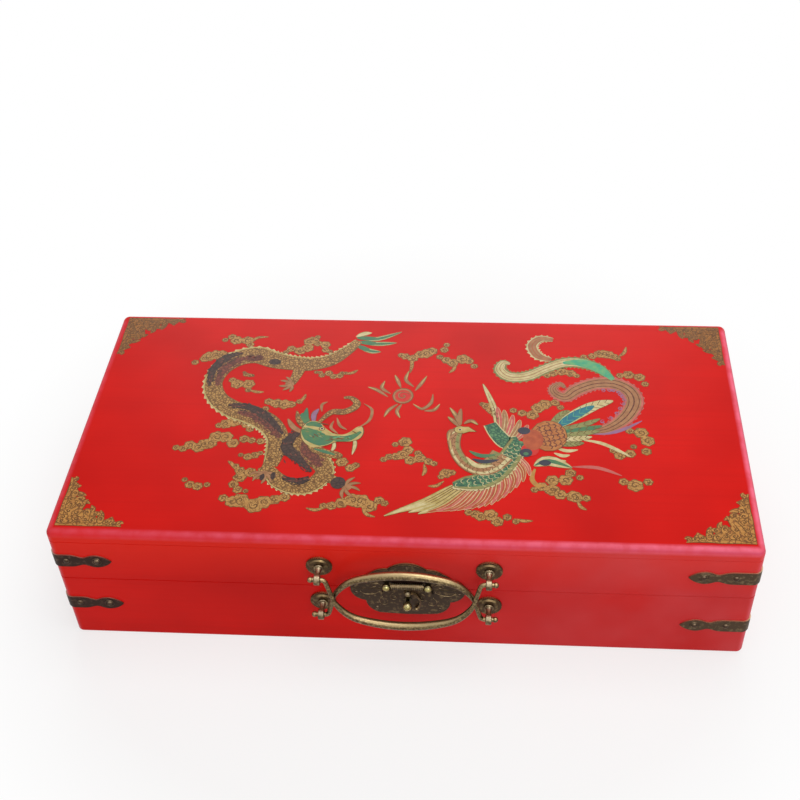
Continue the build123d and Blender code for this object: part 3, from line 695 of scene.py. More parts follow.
def counter_clockwise(outline: Line) -> Line:
    """Give an outline's points in the direction that has its inside on the left."""
    area = sum(a.x * b.y - b.x * a.y for a, b in zip(outline, outline[1:] + outline[:1]))
    return outline if area > 0 else outline[::-1]


def scalloped(outline: Line, bulge: float, steps: int = 5) -> Line:
    """Bow every side of an outline outwards, as the lobes of a drawn cloud.

    Args:
        outline: The corners between the lobes.
        bulge: How far each lobe stands out, as a share of its side.
        steps: How many pieces each lobe is cut into.

    Returns:
        The lobed outline.
    """
    corners = counter_clockwise(outline)
    lobed = []
    for start, end in zip(corners, corners[1:] + corners[:1]):
        side = end - start
        out = Vector((side.y, -side.x)) * bulge
        lobed += [start + side * (step / steps) + out * math.sin(math.pi * step / steps)
                  for step in range(steps)]
    return lobed


class Stroke(NamedTuple):
    """One of the strokes that go over each other along one route, with its coat above the first one's."""

    paint: Paint
    width: float
    coat: float
    end: float = 0.15


@dataclass
class Brushwork:
    """Flat painted shapes on one face of the case, laid in thin coats and gathered by colour.

    Shapes of one coat are staggered in height, so that no two that cross lie in one plane.
    """

    name: str
    body: str
    slot: str
    origin_mm: Vector
    across: Vector = field(default_factory=lambda: Vector((1.0, 0.0, 0.0)))
    upward: Vector = field(default_factory=lambda: Vector((0.0, 1.0, 0.0)))
    first_coat_mm: float = 0.04
    coat_mm: float = 0.03
    stagger: int = 12
    dot_sides: int = 14
    curl_steps: int = 13
    curl_step_rad: float = 0.62
    count: int = 0
    shapes: dict[Paint, tuple[Line, list[Face]]] = field(default_factory=dict)

    def lay(self, paint: Paint, corners: Line, faces: list[Face], coat: float) -> None:
        """Keep one flat shape for later.

        Args:
            paint: Its colour.
            corners: Its points on the face, in millimetres.
            faces: The point numbers of each polygon.
            coat: How many coats it lies above the face.
        """
        self.count += 1
        lift = self.first_coat_mm + self.coat_mm * (coat + self.count % self.stagger / (2 * self.stagger))
        out = self.across.cross(self.upward) * lift
        points, polygons = self.shapes.setdefault(paint, ([], []))
        first = len(points)
        points += [(self.origin_mm + self.across * c.x + self.upward * c.y + out) * MM for c in corners]
        polygons += [tuple(first + number for number in face) for face in faces]

    def fill(self, paint: Paint, outline: Line, coat: float) -> None:
        """Fill a closed outline.

        Args:
            paint: Its colour.
            outline: Its corners, in either direction.
            coat: Its coat.
        """
        corners = counter_clockwise(outline)
        self.lay(paint, corners, [tuple(range(len(corners)))], coat)

    def dot(self, paint: Paint, centre: Vector, width: float, height: float, coat: float,
            turn_deg: float = 0.0) -> None:
        """Fill an ellipse.

        Args:
            paint: Its colour.
            centre: Its middle.
            width: Its whole width.
            height: Its whole height.
            coat: Its coat.
            turn_deg: How far it is turned.
        """
        turn = Matrix.Rotation(math.radians(turn_deg), 2)
        rim = [centre + turn @ Vector((math.cos(a) * width / 2, math.sin(a) * height / 2))
               for a in (math.tau * k / self.dot_sides for k in range(self.dot_sides))]
        self.fill(paint, rim, coat)

    def band(self, paint: Paint, line: Line, widths: Widths, coat: float,
             low: float = 0.0, high: float = 1.0) -> None:
        """Draw a band along a line, or a part of its width.

        Args:
            paint: Its colour.
            line: The middle of the whole band.
            widths: The whole width at even shares of the line.
            coat: Its coat.
            low: The right-hand border, as a share of the width.
            high: The left-hand border, as a share of the width.
        """
        last = len(line) - 1
        corners = []
        for index, point in enumerate(line):
            side = left_of(line, index) * spread(widths, index / last)
            corners += [point + side * (low - 0.5), point + side * (high - 0.5)]
        faces = [(2 * i, 2 * i + 2, 2 * i + 3, 2 * i + 1) for i in range(last)]
        self.lay(paint, corners, faces, coat)

    def stroke(self, paint: Paint, points: Line, width: float, coat: float, end: float = 0.15) -> None:
        """Draw one brush stroke that swells in its middle.

        Args:
            paint: Its colour.
            points: The points that it passes through.
            width: Its width in the middle.
            coat: Its coat.
            end: Its width at both ends, as a share.
        """
        self.band(paint, curve_through(points, steps=4), (width * end, width, width, width * end), coat)

    def strokes(self, points: Line, passes: tuple[Stroke, ...], coat: float = 0.0) -> None:
        """Draw strokes over each other along one route.

        Args:
            points: The points that they pass through.
            passes: The strokes, the lowest one first.
            coat: The coat that their own coats are added to.
        """
        for each in passes:
            self.stroke(each.paint, points, each.width, coat + each.coat, each.end)

    def spiral(self, paint: Paint, centre: Vector, radius: float, start: float, hand: int, width: float,
               coat: float) -> None:
        """Draw one curl that winds into its centre.

        Args:
            paint: Its colour.
            centre: The middle.
            radius: Its outer radius.
            start: The angle at which it starts, in radians.
            hand: 1 or -1 for the way it winds.
            width: The width of its line.
            coat: Its coat.
        """
        arc = []
        for step in range(self.curl_steps):
            angle = start + hand * step * self.curl_step_rad
            ray = Vector((math.cos(angle), math.sin(angle)))
            arc.append(centre + ray * radius * (1 - step / self.curl_steps))
        self.band(paint, arc, (width * 0.3, width, width, width * 0.5), coat)

    def scales(self, paint: Paint, line: Line, widths: Widths, coat: float,
               size: float = 2.6, line_width: float = 0.5) -> None:
        """Draw rows of scales over a band.

        Args:
            paint: The colour of their rims.
            line: The middle of the band.
            widths: The band's width at even shares of the line.
            coat: Their coat.
            size: The size of one scale.
            line_width: The width of a rim.
        """
        last, travelled, row = len(line) - 1, 0.0, 0
        for index in range(1, last):
            travelled += (line[index] - line[index - 1]).length
            if travelled < size * 0.85:
                continue
            travelled, row = 0.0, row + 1
            side = left_of(line, index)
            ahead = Vector((side.y, -side.x))
            width = spread(widths, index / last) - size
            count = max(int(width / size), 1)
            for number in range(count):
                middle = line[index] + side * ((number + 0.5 * (row % 2) + 0.25) / count - 0.5) * width
                arc = [middle + side * math.sin(a) * size / 2 + ahead * math.cos(a) * size / 2
                       for a in (-1.5, -0.75, 0.0, 0.75, 1.5)]
                self.band(paint, arc, (line_width,), coat)

    def teeth(self, paint: Paint, line: Line, widths: Widths, coat: float, hand: int,
              span: tuple[float, float], height: float = 2.2) -> None:
        """Draw a row of small fins along one side of a band.

        Args:
            paint: Their colour.
            line: The middle of the band.
            widths: The band's width at even shares of the line.
            coat: Their coat.
            hand: 1 for its left side, -1 for its right side.
            span: The shares of the line between which they stand.
            height: How far they stand out.
        """
        last = len(line) - 1
        first, end = int(span[0] * last), int(span[1] * last)
        for index in range(first, end - 1, 2):
            side = left_of(line, index) * hand
            after = left_of(line, index + 2) * hand
            near = line[index] + side * (spread(widths, index / last) / 2 - 0.4)
            far = line[index + 2] + after * (spread(widths, (index + 2) / last) / 2 - 0.4)
            tip = (near + far) / 2 + side * height + (far - near) * 0.3
            self.fill(paint, [near, far, tip], coat)

    def dabs(self, paint: Paint, line: Line, widths: Widths, coat: float,
             span: tuple[float, float], count: int) -> None:
        """Dab short strokes along a band; they thin out from one share of its width to another.

        Args:
            paint: Their colour.
            line: The middle of the band.
            widths: The band's width at even shares of the line.
            coat: Their coat.
            span: Where most of them lie and where the last ones lie, from 0, its right, to 1, its left.
            count: How many.
        """
        dice = random.Random(len(line) + count)
        last = len(line) - 1
        for _ in range(count):
            index = dice.randrange(1, last)
            side = left_of(line, index)
            share = span[0] + (span[1] - span[0]) * dice.random() ** 1.5
            middle = line[index] + side * spread(widths, index / last) * (share - 0.5)
            reach = Vector((side.y, -side.x)) * dice.uniform(1.0, 2.2) + side * dice.uniform(-0.7, 0.7)
            width = dice.uniform(0.7, 1.3)
            self.band(paint, [middle - reach, middle, middle + reach], (0.2, width, 0.2), coat)

    def place(self) -> list[Piece]:
        """Make one mesh for each colour and let it ride on its body.

        Returns:
            The meshes.
        """
        made = []
        for paint, (points, polygons) in self.shapes.items():
            piece = add_mesh(f"{self.name}_{paint.name.lower()}", points, polygons, material_of(paint.value))
            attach(piece, self.body)
            made.append(piece)
        log.info("%s: %d shapes in %d colours", self.name, self.count, len(made))
        return made


LID_TOP_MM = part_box("lid_top_board")[1][2] / MM


def on_lid(pixels: Path) -> Line:
    """Turn pixels of the photograph into points on the lid, in millimetres."""
    return [VIEW.on_lid(pixel, LID_TOP_MM) for pixel in pixels]


def lid_brushwork(name: str) -> Brushwork:
    """Start a piece of painting on the lid."""
    return Brushwork(name, "lid", "lacquered_wood", Vector((0.0, 0.0, LID_TOP_MM)))


def doubled(routes: Paths) -> list[Path]:
    """Put one more route halfway between each two neighbours.

    Args:
        routes: Routes with the same number of points.

    Returns:
        All of them, in order.
    """
    more = [routes[0]]
    for before, after in zip(routes, routes[1:]):
        more.append(tuple(((a[0] + b[0]) / 2, (a[1] + b[1]) / 2) for a, b in zip(before, after)))
        more.append(after)
    return more


def fanned(count: int, root: Vector, reach: Vector, fan_deg: float, bow: float) -> list[Line]:
    """Give bowed routes that fan out from a root.

    Args:
        count: How many routes.
        root: Where they start.
        reach: The way to the tip of the middle one.
        fan_deg: The angle between the outer ones.
        bow: How far each bows outwards, as a share of its length.

    Returns:
        Three points for each route.
    """
    routes = []
    for number in range(count):
        angle = math.radians(fan_deg) * (number / (count - 1) - 0.5)
        way = Matrix.Rotation(angle, 2) @ reach
        aside = Vector((-way.y, way.x)) * bow * math.copysign(1, angle or 1)
        routes.append([root, root + way * 0.5 + aside, root + way])
    return routes


@dataclass
class Cloud:
    """A painted cloud scroll: a bank of round heads, a curl in each, that ends in thin wisps."""

    spine: Path
    width_mm: float
    wisps: Paths = ()
    wisp_strokes: tuple[Stroke, ...] = (
        Stroke(Paint.UMBER, 2.9, 0, 0.2), Stroke(Paint.CLOUD_GOLD, 2.1, 1, 0.1))
    lobes: int = 6
    rim_mm: float = 0.45
    curl_line_mm: float = 0.8
    head_share: float = 0.32
    pitch_share: float = 0.38
    sway_share: float = 0.24

    def head(self, work: Brushwork, centre: Vector, radius: float, dice: random.Random) -> None:
        """Paint one round head with its lobes and its curl.

        Args:
            work: The painting.
            centre: The head's middle.
            radius: Its radius to the corners between its lobes.
            dice: What turns each head another way.
        """
        turn = dice.uniform(0, math.tau)
        angles = [turn + k * math.tau / self.lobes for k in range(self.lobes)]
        rays = [Vector((math.cos(a), math.sin(a))) for a in angles]
        for paint, size, coat in ((Paint.UMBER, radius + self.rim_mm, 0), (Paint.CLOUD_GOLD, radius, 1)):
            work.fill(paint, scalloped([centre + ray * size for ray in rays], 0.3), coat)
        work.spiral(Paint.UMBER, centre, radius * 0.72, turn, dice.choice((-1, 1)), self.curl_line_mm, 2)

    def paint(self, work: Brushwork) -> None:
        """Paint the whole cloud.

        Args:
            work: The painting.
        """
        line = curve_through(on_lid(self.spine), steps=6)
        length = sum((after - before).length for before, after in zip(line, line[1:]))
        dice = random.Random(round(length * 10))
        heads = max(3, round(length / (self.width_mm * self.pitch_share)))
        for wisp in self.wisps:
            work.strokes(on_lid(wisp), self.wisp_strokes)
        for number in range(heads):
            share = number / (heads - 1)
            index = round(share * (len(line) - 1))
            swell = 0.35 + 0.65 * math.sin(math.pi * min(max(share, 0.08), 0.92))
            aside = left_of(line, index) * self.width_mm * self.sway_share * swell * dice.choice((-1, 1))
            radius = self.width_mm * self.head_share * swell * dice.uniform(0.9, 1.15)
            self.head(work, line[index] + aside, radius, dice)


@dataclass
class Dragon:
    """The dragon on the left, coiled among clouds and turned to the pearl."""

    work: Brushwork
    body_line: Path = (
        (359, 341), (348, 350), (331, 360), (311, 364), (293, 363), (275, 360), (258, 355), (239, 358),
        (222, 368), (213, 383), (217, 398), (232, 409), (251, 415), (268, 424), (277, 437), (275, 452),
        (270, 466),
    )
    body_widths_mm: Widths = (6, 9, 12, 14, 15, 17, 18, 17, 15, 13, 14, 16, 18, 17, 15, 13, 9)
    loop_line: Path = (
        (268, 469), (277, 480), (290, 486), (305, 487), (318, 481), (325, 471), (319, 461), (308, 453),
        (299, 444), (300, 434),
    )
    loop_widths_mm: Widths = (8, 12, 13, 13, 12, 12, 14, 15, 15, 11)
    dark_shades: Paths = (
        ((209, 386), (213, 370), (226, 358), (243, 353)), ((228, 405), (248, 407), (266, 416), (283, 434)),
        ((303, 431), (291, 438), (287, 448), (297, 458), (311, 472)), ((283, 477), (296, 481), (309, 478)),
    )
    red_shades: Paths = (
        ((217, 386), (222, 372), (233, 363), (246, 358)), ((238, 412), (256, 417), (272, 428), (279, 438)),
        ((305, 441), (306, 450), (314, 458), (320, 467)), ((246, 357), (256, 359), (262, 356)),
    )
    shade_widths_mm: Widths = (7.5, 7.5, 10.0, 4.5)
    legs: Paths = (
        ((301, 366), (297, 375), (291, 384)), ((276, 448), (270, 461), (264, 472)),
        ((322, 476), (331, 479), (343, 486)),
    )
    claws: tuple[tuple[Point, Point], ...] = (
        ((291, 384), (-12, 2)), ((264, 473), (-3, 11)), ((345, 487), (15, 4)),
    )
    dark_pads: tuple[tuple[Point, float, float], ...] = (
        ((275, 362), 9.0, 6.5), ((338, 483), 10.0, 11.0), ((262, 477), 3.4, 6.5), ((273, 476), 3.4, 7.0),
    )
    tail_tips: Paths = (
        ((357, 338), (378, 339), (402, 332)), ((358, 342), (378, 344), (397, 343)),
        ((358, 346), (370, 351), (381, 352)), ((356, 337), (364, 334), (372, 333)),
    )
    skull: Path = (
        (300, 434), (303, 426), (310, 421), (319, 422), (325, 428), (333, 433), (343, 435), (351, 432),
        (358, 427), (363, 427), (364, 433), (360, 439), (350, 442), (338, 442), (326, 446), (312, 448),
        (303, 442),
    )
    jaw: Path = (
        (308, 446), (318, 446), (328, 450), (338, 452), (343, 456), (337, 459), (324, 456), (312, 452),
    )
    horn: Path = (
        (317, 425), (325, 417), (333, 412), (344, 412), (354, 408), (357, 403), (351, 398), (344, 398),
    )
    locks: Paths = (
        ((309, 430), (300, 422), (297, 411)), ((311, 427), (306, 418), (307, 408)),
        ((306, 434), (294, 428), (288, 419)), ((314, 424), (314, 415), (319, 409)),
        ((308, 431), (302, 419), (303, 413)),
    )
    lock_paints: tuple[Paint, ...] = (Paint.SCALE_GOLD, Paint.GREEN, Paint.TAN, Paint.MAUVE, Paint.GREEN)
    whiskers: Paths = (
        ((334, 421), (331, 428), (338, 434)), ((337, 418), (340, 426), (347, 430)),
        ((358, 428), (369, 421), (372, 410), (364, 404)), ((322, 412), (322, 405), (328, 402)),
    )
    fangs: Paths = (((354, 437), (355, 445), (352, 455)), ((334, 440), (334, 447), (331, 452)))
    green_parts: tuple[tuple[Path, float], ...] = (
        (((304, 429), (311, 435), (322, 440), (333, 439)), 12.0),
        (((322, 436), (338, 439), (350, 438), (361, 432)), 5.2),
        (((306, 425), (314, 424), (322, 427)), 4.6), (((314, 449), (325, 452), (335, 455)), 2.6),
    )
    snout: Path = ((303, 428), (316, 434), (332, 438), (350, 438))
    snout_widths_mm: Widths = (9.0, 9.0, 5.0, 3.0)
    snout_dabs: tuple[tuple[Paint, Point, int], ...] = (
        (Paint.SEA_GREEN, (0.4, 0.9), 14), (Paint.OLIVE, (0.6, 0.1), 22), (Paint.UMBER, (0.5, 0.0), 18),
    )
    creases: Paths = (((317, 423), (329, 425)), ((325, 441), (345, 438)), ((352, 431), (357, 434)))
    eye: Point = (322, 429)
    rim_mm: float = 0.7
    limb_widths_mm: Widths = (9.0, 7.0, 5.5)
    toes: int = 5
    toe_fan_deg: float = 150.0
    toe_bow: float = 0.14
    toe_strokes: tuple[Stroke, ...] = (Stroke(Paint.UMBER, 2.7, 1.4), Stroke(Paint.TAN, 2.0, 2, 0.1))
    horn_strokes: tuple[Stroke, ...] = (
        Stroke(Paint.UMBER, 5.9, 0, 0.4), Stroke(Paint.SCALE_GOLD, 5.0, 1, 0.3))
    fang_strokes: tuple[Stroke, ...] = (Stroke(Paint.UMBER, 3.2, -0.3, 0.1), Stroke(Paint.CREAM, 2.3, 0, 0.1))
    tail_strokes: tuple[Stroke, ...] = (Stroke(Paint.OLIVE, 4.8, 1, 0.1), Stroke(Paint.CREAM, 3.7, 1.6, 0.1))

    def trunk(self, route: Path, widths: Widths, fin_side: int, coat: float) -> None:
        """Paint one length of the body: pale fins, dark rim and scaled gilt.

        Args:
            route: The middle of the body.
            widths: Its width at even shares of the route.
            fin_side: 1 where the back is on the left of the route, -1 where it is on the right.
            coat: Its first coat.
        """
        line = curve_through(on_lid(route), steps=7)
        self.work.teeth(Paint.CREAM, line, widths, coat, fin_side, (0.03, 0.97), 1.9)
        self.work.band(Paint.UMBER, line, wider(widths, self.rim_mm), coat)
        self.work.band(Paint.SCALE_GOLD, line, widths, coat + 1)
        ridge = (0.0, 0.07) if fin_side < 0 else (0.93, 1.0)
        self.work.band(Paint.PALE_GOLD, line, widths, coat + 1.5, *ridge)

    def limb(self, route: Path, toe: tuple[Point, Point], coat: float) -> None:
        """Paint a leg that ends in a paw with its claws.

        Args:
            route: The middle of the leg.
            toe: The paw's pixel, and the way that it points in.
            coat: Its first coat.
        """
        line = curve_through(on_lid(route), steps=5)
        self.work.band(Paint.UMBER, line, wider(self.limb_widths_mm, self.rim_mm), coat)
        self.work.band(Paint.SCALE_GOLD, line, self.limb_widths_mm, coat + 1)
        root, ahead = toe
        paw, tip = on_lid((root, (root[0] + ahead[0], root[1] + ahead[1])))
        reach = tip - paw
        self.work.dot(Paint.TAN, paw + reach * 0.1, 6.5, 6.0, coat + 1.2)
        for claw in fanned(self.toes, paw, reach, self.toe_fan_deg, self.toe_bow):
            self.work.strokes(claw, self.toe_strokes, coat)

    def shadow(self, paint: Paint, route: Path, widths: Widths,
               spans: tuple[Point, ...], count: int, coat: float) -> Line:
        """Paint one dark patch over the gilt, with dabs that break up its borders.

        Args:
            paint: Its colour.
            route: Its middle.
            widths: Its width at even shares of the route.
            spans: Where the dabs at each border lie, as shares of its width.
            count: How many dabs each border gets.
            coat: Its coat.

        Returns:
            The points of its middle.
        """
        line = curve_through(on_lid(route), steps=5)
        self.work.band(paint, line, widths, coat)
        for span in spans:
            self.work.dabs(paint, line, widths, coat + 0.2, span, count)
        return line

    def shade(self, coat: float) -> None:
        """Paint the dark back and the red belly over the gilt.

        Args:
            coat: The belly's coat.
        """
        for red, dark, width in zip(self.red_shades, self.dark_shades, self.shade_widths_mm):
            belly, back = (1.5, width * 0.8, width * 0.8, 1.5), (1.5, width * 0.8, width * 0.85, 2.0)
            self.shadow(Paint.MAROON, red, belly, ((0.9, 1.4), (0.1, -0.4)), 30, coat)
            line = self.shadow(Paint.DARK, dark, back, ((0.85, 1.05), (0.15, -0.55)), 34, coat + 1)
            self.work.dabs(Paint.MAROON, line, back, coat + 1.8, (0.2, 0.8), 12)
        for place, width, height in self.dark_pads:
            self.work.dot(Paint.DARK, on_lid((place,))[0], width, height, coat + 1.5)

    def face(self, coat: float) -> None:
        """Paint the head: locks, horn, jaws, fangs, whiskers and eye.

        Args:
            coat: Its first coat.
        """
        for lock, paint in zip(self.locks, self.lock_paints):
            self.work.strokes(on_lid(lock), (Stroke(Paint.UMBER, 4.4, 0, 0.2), Stroke(paint, 3.5, 1)), coat)
        self.work.strokes(on_lid(self.horn), self.horn_strokes, coat)
        for fang in self.fangs:
            self.work.strokes(on_lid(fang), self.fang_strokes, coat)
        for shape, inset, paint in ((self.jaw, 0.5, Paint.SCALE_GOLD), (self.skull, 0.6, Paint.PALE_GOLD)):
            border = curve_through(on_lid(shape), True, 4)
            self.work.fill(Paint.UMBER, border, coat + 1)
            centre = sum(border, Vector((0.0, 0.0))) / len(border)
            self.work.fill(paint, shrunk(border, centre, inset), coat + 2)
        for route, width in self.green_parts:
            self.work.stroke(Paint.GREEN, on_lid(route), width, coat + 3, 0.35)
        snout = curve_through(on_lid(self.snout), steps=6)
        for paint, span, count in self.snout_dabs:
            self.work.dabs(paint, snout, self.snout_widths_mm, coat + 3.2, span, count)
        for whisker in self.whiskers:
            self.work.stroke(Paint.TAN, on_lid(whisker), 2.1, coat + 3)
        for crease in self.creases:
            self.work.stroke(Paint.UMBER, on_lid(crease), 1.0, coat + 3.4)
        eye = on_lid((self.eye,))[0]
        for paint, size, step in ((Paint.UMBER, 4.4, 4), (Paint.CREAM, 3.2, 4.6), (Paint.NAVY, 1.7, 5.2)):
            self.work.dot(paint, eye, size, size * 0.85, coat + step)

    def paint(self) -> None:
        """Paint the whole dragon."""
        for tip in self.tail_tips:
            self.work.strokes(on_lid(tip), self.tail_strokes)
        for tip in self.tail_tips[:3]:
            self.work.stroke(Paint.GREEN, on_lid(tip), 2.6, 2.4, 0.1)
            self.work.stroke(Paint.GREEN, on_lid(tip[:2]), 4.6, 2.6, 0.3)
        self.trunk(self.loop_line, self.loop_widths_mm, -1, 1.2)
        self.trunk(self.body_line, self.body_widths_mm, -1, 2)
        for route, toe in zip(self.legs, self.claws):
            self.limb(route, toe, 3.2)
        self.shade(4)
        self.face(5)


@dataclass
class Phoenix:
    """The phoenix on the right, wings spread and long plumes curled behind it."""

    work: Brushwork
    neck_line: Path = (
        (503, 455), (494, 464), (484, 469), (473, 468), (462, 461), (455, 449), (455, 438), (459, 429),
    )
    neck_widths_mm: Widths = (16, 15, 12, 9.5, 8, 7.5, 7.5, 6.5)
    hackles: Paths = (
        ((469, 451), (481, 456), (496, 455)), ((472, 459), (484, 462), (499, 460)),
        ((466, 457), (477, 466), (492, 466)),
    )
    hackle_paints: tuple[Paint, ...] = (Paint.GREEN, Paint.NAVY, Paint.CREAM)
    head_at: Point = (460, 430)
    head_discs: tuple[tuple[Paint, float, float], ...] = (
        (Paint.UMBER, 8.4, 8), (Paint.PALE_GOLD, 7.4, 8.5), (Paint.CREAM, 2.8, 9), (Paint.NAVY, 1.6, 9.5))
    beak: Path = ((462, 427), (469, 427), (477, 432), (470, 432), (463, 434))
    crest: Paths = (
        ((459, 427), (453, 421), (448, 417)), ((460, 426), (456, 416), (450, 408)),
        ((461, 425), (460, 416), (461, 409)), ((457, 430), (450, 432), (448, 441)),
        ((464, 424), (471, 421), (478, 425)), ((456, 433), (450, 440), (451, 450)),
    )
    crest_strokes: tuple[Stroke, ...] = (Stroke(Paint.UMBER, 3.4, 6.6, 0.25), Stroke(Paint.TAN, 2.6, 7, 0.25))
    far_wing: Path = ((490, 424), (497, 434), (507, 443), (519, 441))
    far_wing_widths_mm: Widths = (8.0, 10.0, 11.0, 9.0)
    far_feathers: Paths = (
        ((498, 430), (494, 408), (483, 384)), ((500, 431), (499, 417), (497, 407)),
        ((503, 434), (505, 420), (504, 410)), ((507, 436), (511, 425), (513, 415)),
        ((511, 438), (517, 429), (520, 420)), ((515, 440), (523, 433), (528, 425)),
    )
    far_paints: tuple[Paint, ...] = (
        Paint.CREAM, Paint.ROSE, Paint.TAN, Paint.ROSE, Paint.TAN, Paint.ROSE)
    near_wing: Path = ((520, 441), (513, 452), (505, 463), (494, 474), (480, 481), (466, 483), (453, 485))
    near_wing_widths_mm: Widths = (12, 14, 15, 15, 14, 11, 4)
    near_feathers: Paths = (
        ((453, 486), (425, 501), (384, 516)), ((458, 487), (431, 503), (399, 511)),
        ((465, 488), (441, 505), (418, 514)), ((473, 489), (454, 506), (436, 511)),
        ((480, 488), (466, 504), (450, 511)), ((487, 486), (479, 501), (464, 510)),
        ((494, 482), (489, 497), (478, 508)), ((500, 476), (500, 491), (491, 505)),
        ((505, 469), (510, 484), (503, 498)), ((511, 462), (519, 475), (516, 488)),
        ((517, 456), (527, 466), (530, 476)),
    )
    pale_feathers: int = 5
    body_at: Point = (549, 436)
    body_line: Path = ((536, 438), (549, 436), (564, 434))
    body_widths_mm: Widths = (14.0, 24.0, 29.0, 27.0, 15.0)
    body_lines: tuple[float, ...] = (0.14, 0.32, 0.5, 0.68, 0.86)
    body_spots: tuple[tuple[Point, float, float, Paint], ...] = (
        ((533, 440), 14, 20, Paint.RUST), ((524, 431), 8.5, 7, Paint.NAVY),
        ((530, 450), 12, 12, Paint.VERMILION), ((526, 453), 8.5, 8, Paint.NAVY),
        ((526, 454), 3.6, 3.0, Paint.GREEN), ((524, 430), 3.4, 2.8, Paint.TAN),
        ((545, 463), 8, 5.5, Paint.NAVY),
    )
    plume: Path = (
        (585, 432), (607, 429), (625, 418), (634, 403), (629, 391), (614, 384), (595, 384), (577, 390),
        (566, 397), (556, 394), (553, 388), (560, 384), (565, 388),
    )
    plume_widths_mm: Widths = (4, 9, 12, 13, 13, 13, 12, 12, 10, 8, 6, 4, 2)
    green_plume: Path = (
        (613, 380), (599, 369), (581, 363), (563, 363), (545, 369), (528, 376), (510, 377), (500, 370),
        (503, 363), (510, 364),
    )
    green_plume_widths_mm: Widths = (4, 9, 11, 10, 9, 10, 10, 9, 6, 2)
    brown_plume: Path = ((551, 360), (538, 356), (532, 346), (540, 339), (553, 340))
    brown_plume_widths_mm: Widths = (4, 8, 8, 7, 4)
    blue_plume: Path = ((560, 425), (576, 415), (594, 406), (613, 401))
    coverts: Paths = (
        ((551, 425), (561, 415), (570, 411)), ((556, 426), (572, 418), (582, 408)),
        ((559, 430), (580, 426), (600, 419)), ((560, 433), (582, 430), (602, 426)),
        ((560, 436), (580, 434), (600, 431)), ((560, 440), (576, 439), (592, 437)),
        ((558, 444), (572, 444), (584, 443)),
    )
    covert_paints: tuple[Paint, ...] = (
        Paint.OLIVE, Paint.CREAM, Paint.OLIVE, Paint.GREEN, Paint.OLIVE, Paint.CREAM, Paint.OLIVE)
    thin_plumes: Paths = (
        ((576, 439), (600, 443), (617, 450), (631, 457)), ((588, 434), (616, 432), (642, 421)),
        ((572, 467), (598, 468), (622, 476)), ((556, 448), (567, 451), (578, 450)),
        ((554, 453), (563, 456), (570, 455)), ((550, 457), (558, 461), (566, 461)),
    )
    thin_paints: tuple[Paint, ...] = (
        Paint.CREAM, Paint.MAUVE, Paint.ROSE, Paint.CREAM, Paint.CREAM, Paint.CREAM)
    thigh: Path = ((534, 466), (549, 461), (572, 468))
    thigh_strokes: tuple[Stroke, ...] = (
        Stroke(Paint.UMBER, 9.4, 2), Stroke(Paint.CREAM, 8.6, 3, 0.1), Stroke(Paint.GREEN, 3.4, 3.6, 0.1))
    claw: Path = ((535, 469), (532, 479), (538, 486), (545, 485))
    rim_mm: float = 0.6

    def feather(self, route: Path, width: float, paint: Paint, rim: Paint, coat: float,
                barbed: bool = True) -> None:
        """Paint one feather: a rim, its colour, and slanting barbs or a plain quill.

        Args:
            route: From the root to the tip.
            width: Its width in the middle.
            paint: Its colour.
            rim: The colour of its rim and barbs.
            coat: Its first coat.
            barbed: Whether it has barbs; a narrow one has only its quill.
        """
        line = curve_through(on_lid(route), steps=6)
        shape = (0.5, 0.9, 1.0, 0.95, 0.7, 0.12)
        widths = tuple(width * share for share in shape)
        self.work.band(rim, line, wider(widths, self.rim_mm), coat)
        self.work.band(paint, line, widths, coat + 0.6)
        if not barbed:
            self.work.band(rim, line[:-3], (0.6, 0.5, 0.2), coat + 1.2)
            return
        for index in range(1, len(line) - 2, 2):
            side, ahead = left_of(line, index), (line[index + 1] - line[index]).normalized()
            reach = width * 0.45 * spread(shape, index / (len(line) - 1))
            for hand in (-1, 1):
                tip = line[index] + side * hand * reach + ahead * reach * 1.2
                self.work.band(rim, [line[index], tip], (0.35, 0.5), coat + 1.2)

    def long_plume(self, route: Path, widths: Widths, paint: Paint, edge: Paint,
                   line_paint: Paint, coat: float) -> None:
        """Paint a long plume with a ragged edge and lines that follow its curve.

        Args:
            route: From the root to the tip.
            widths: Its width at even shares of the route.
            paint: Its colour.
            edge: The colour of its ragged edge.
            line_paint: The colour of its lines.
            coat: Its first coat.
        """
        line = curve_through(on_lid(route), steps=7)
        for hand in (1, -1):
            self.work.teeth(edge, line, widths, coat, hand, (0.05, 0.95), 1.8)
        self.work.band(Paint.UMBER, line, wider(widths, 0.5), coat)
        self.work.band(edge, line, widths, coat + 0.5)
        self.work.band(paint, line, tuple(width * 0.78 for width in widths), coat + 1)
        for low, high in ((0.2, 0.25), (0.46, 0.53), (0.74, 0.79)):
            self.work.band(line_paint, line, widths, coat + 1.6, low, high)

    def back_wing(self) -> None:
        """Paint the wing behind the neck: primaries and scaled green coverts."""
        for number, (route, paint) in enumerate(zip(self.far_feathers, self.far_paints)):
            rim = Paint.CREAM if number else Paint.UMBER
            self.feather(route, 4.0, paint, rim, 1 + 0.1 * number, False)
        line = curve_through(on_lid(self.far_wing), steps=6)
        self.work.band(Paint.CREAM, line, wider(self.far_wing_widths_mm, 1.6), 2.4)
        self.work.band(Paint.GREEN_SCALES, line, self.far_wing_widths_mm, 3)

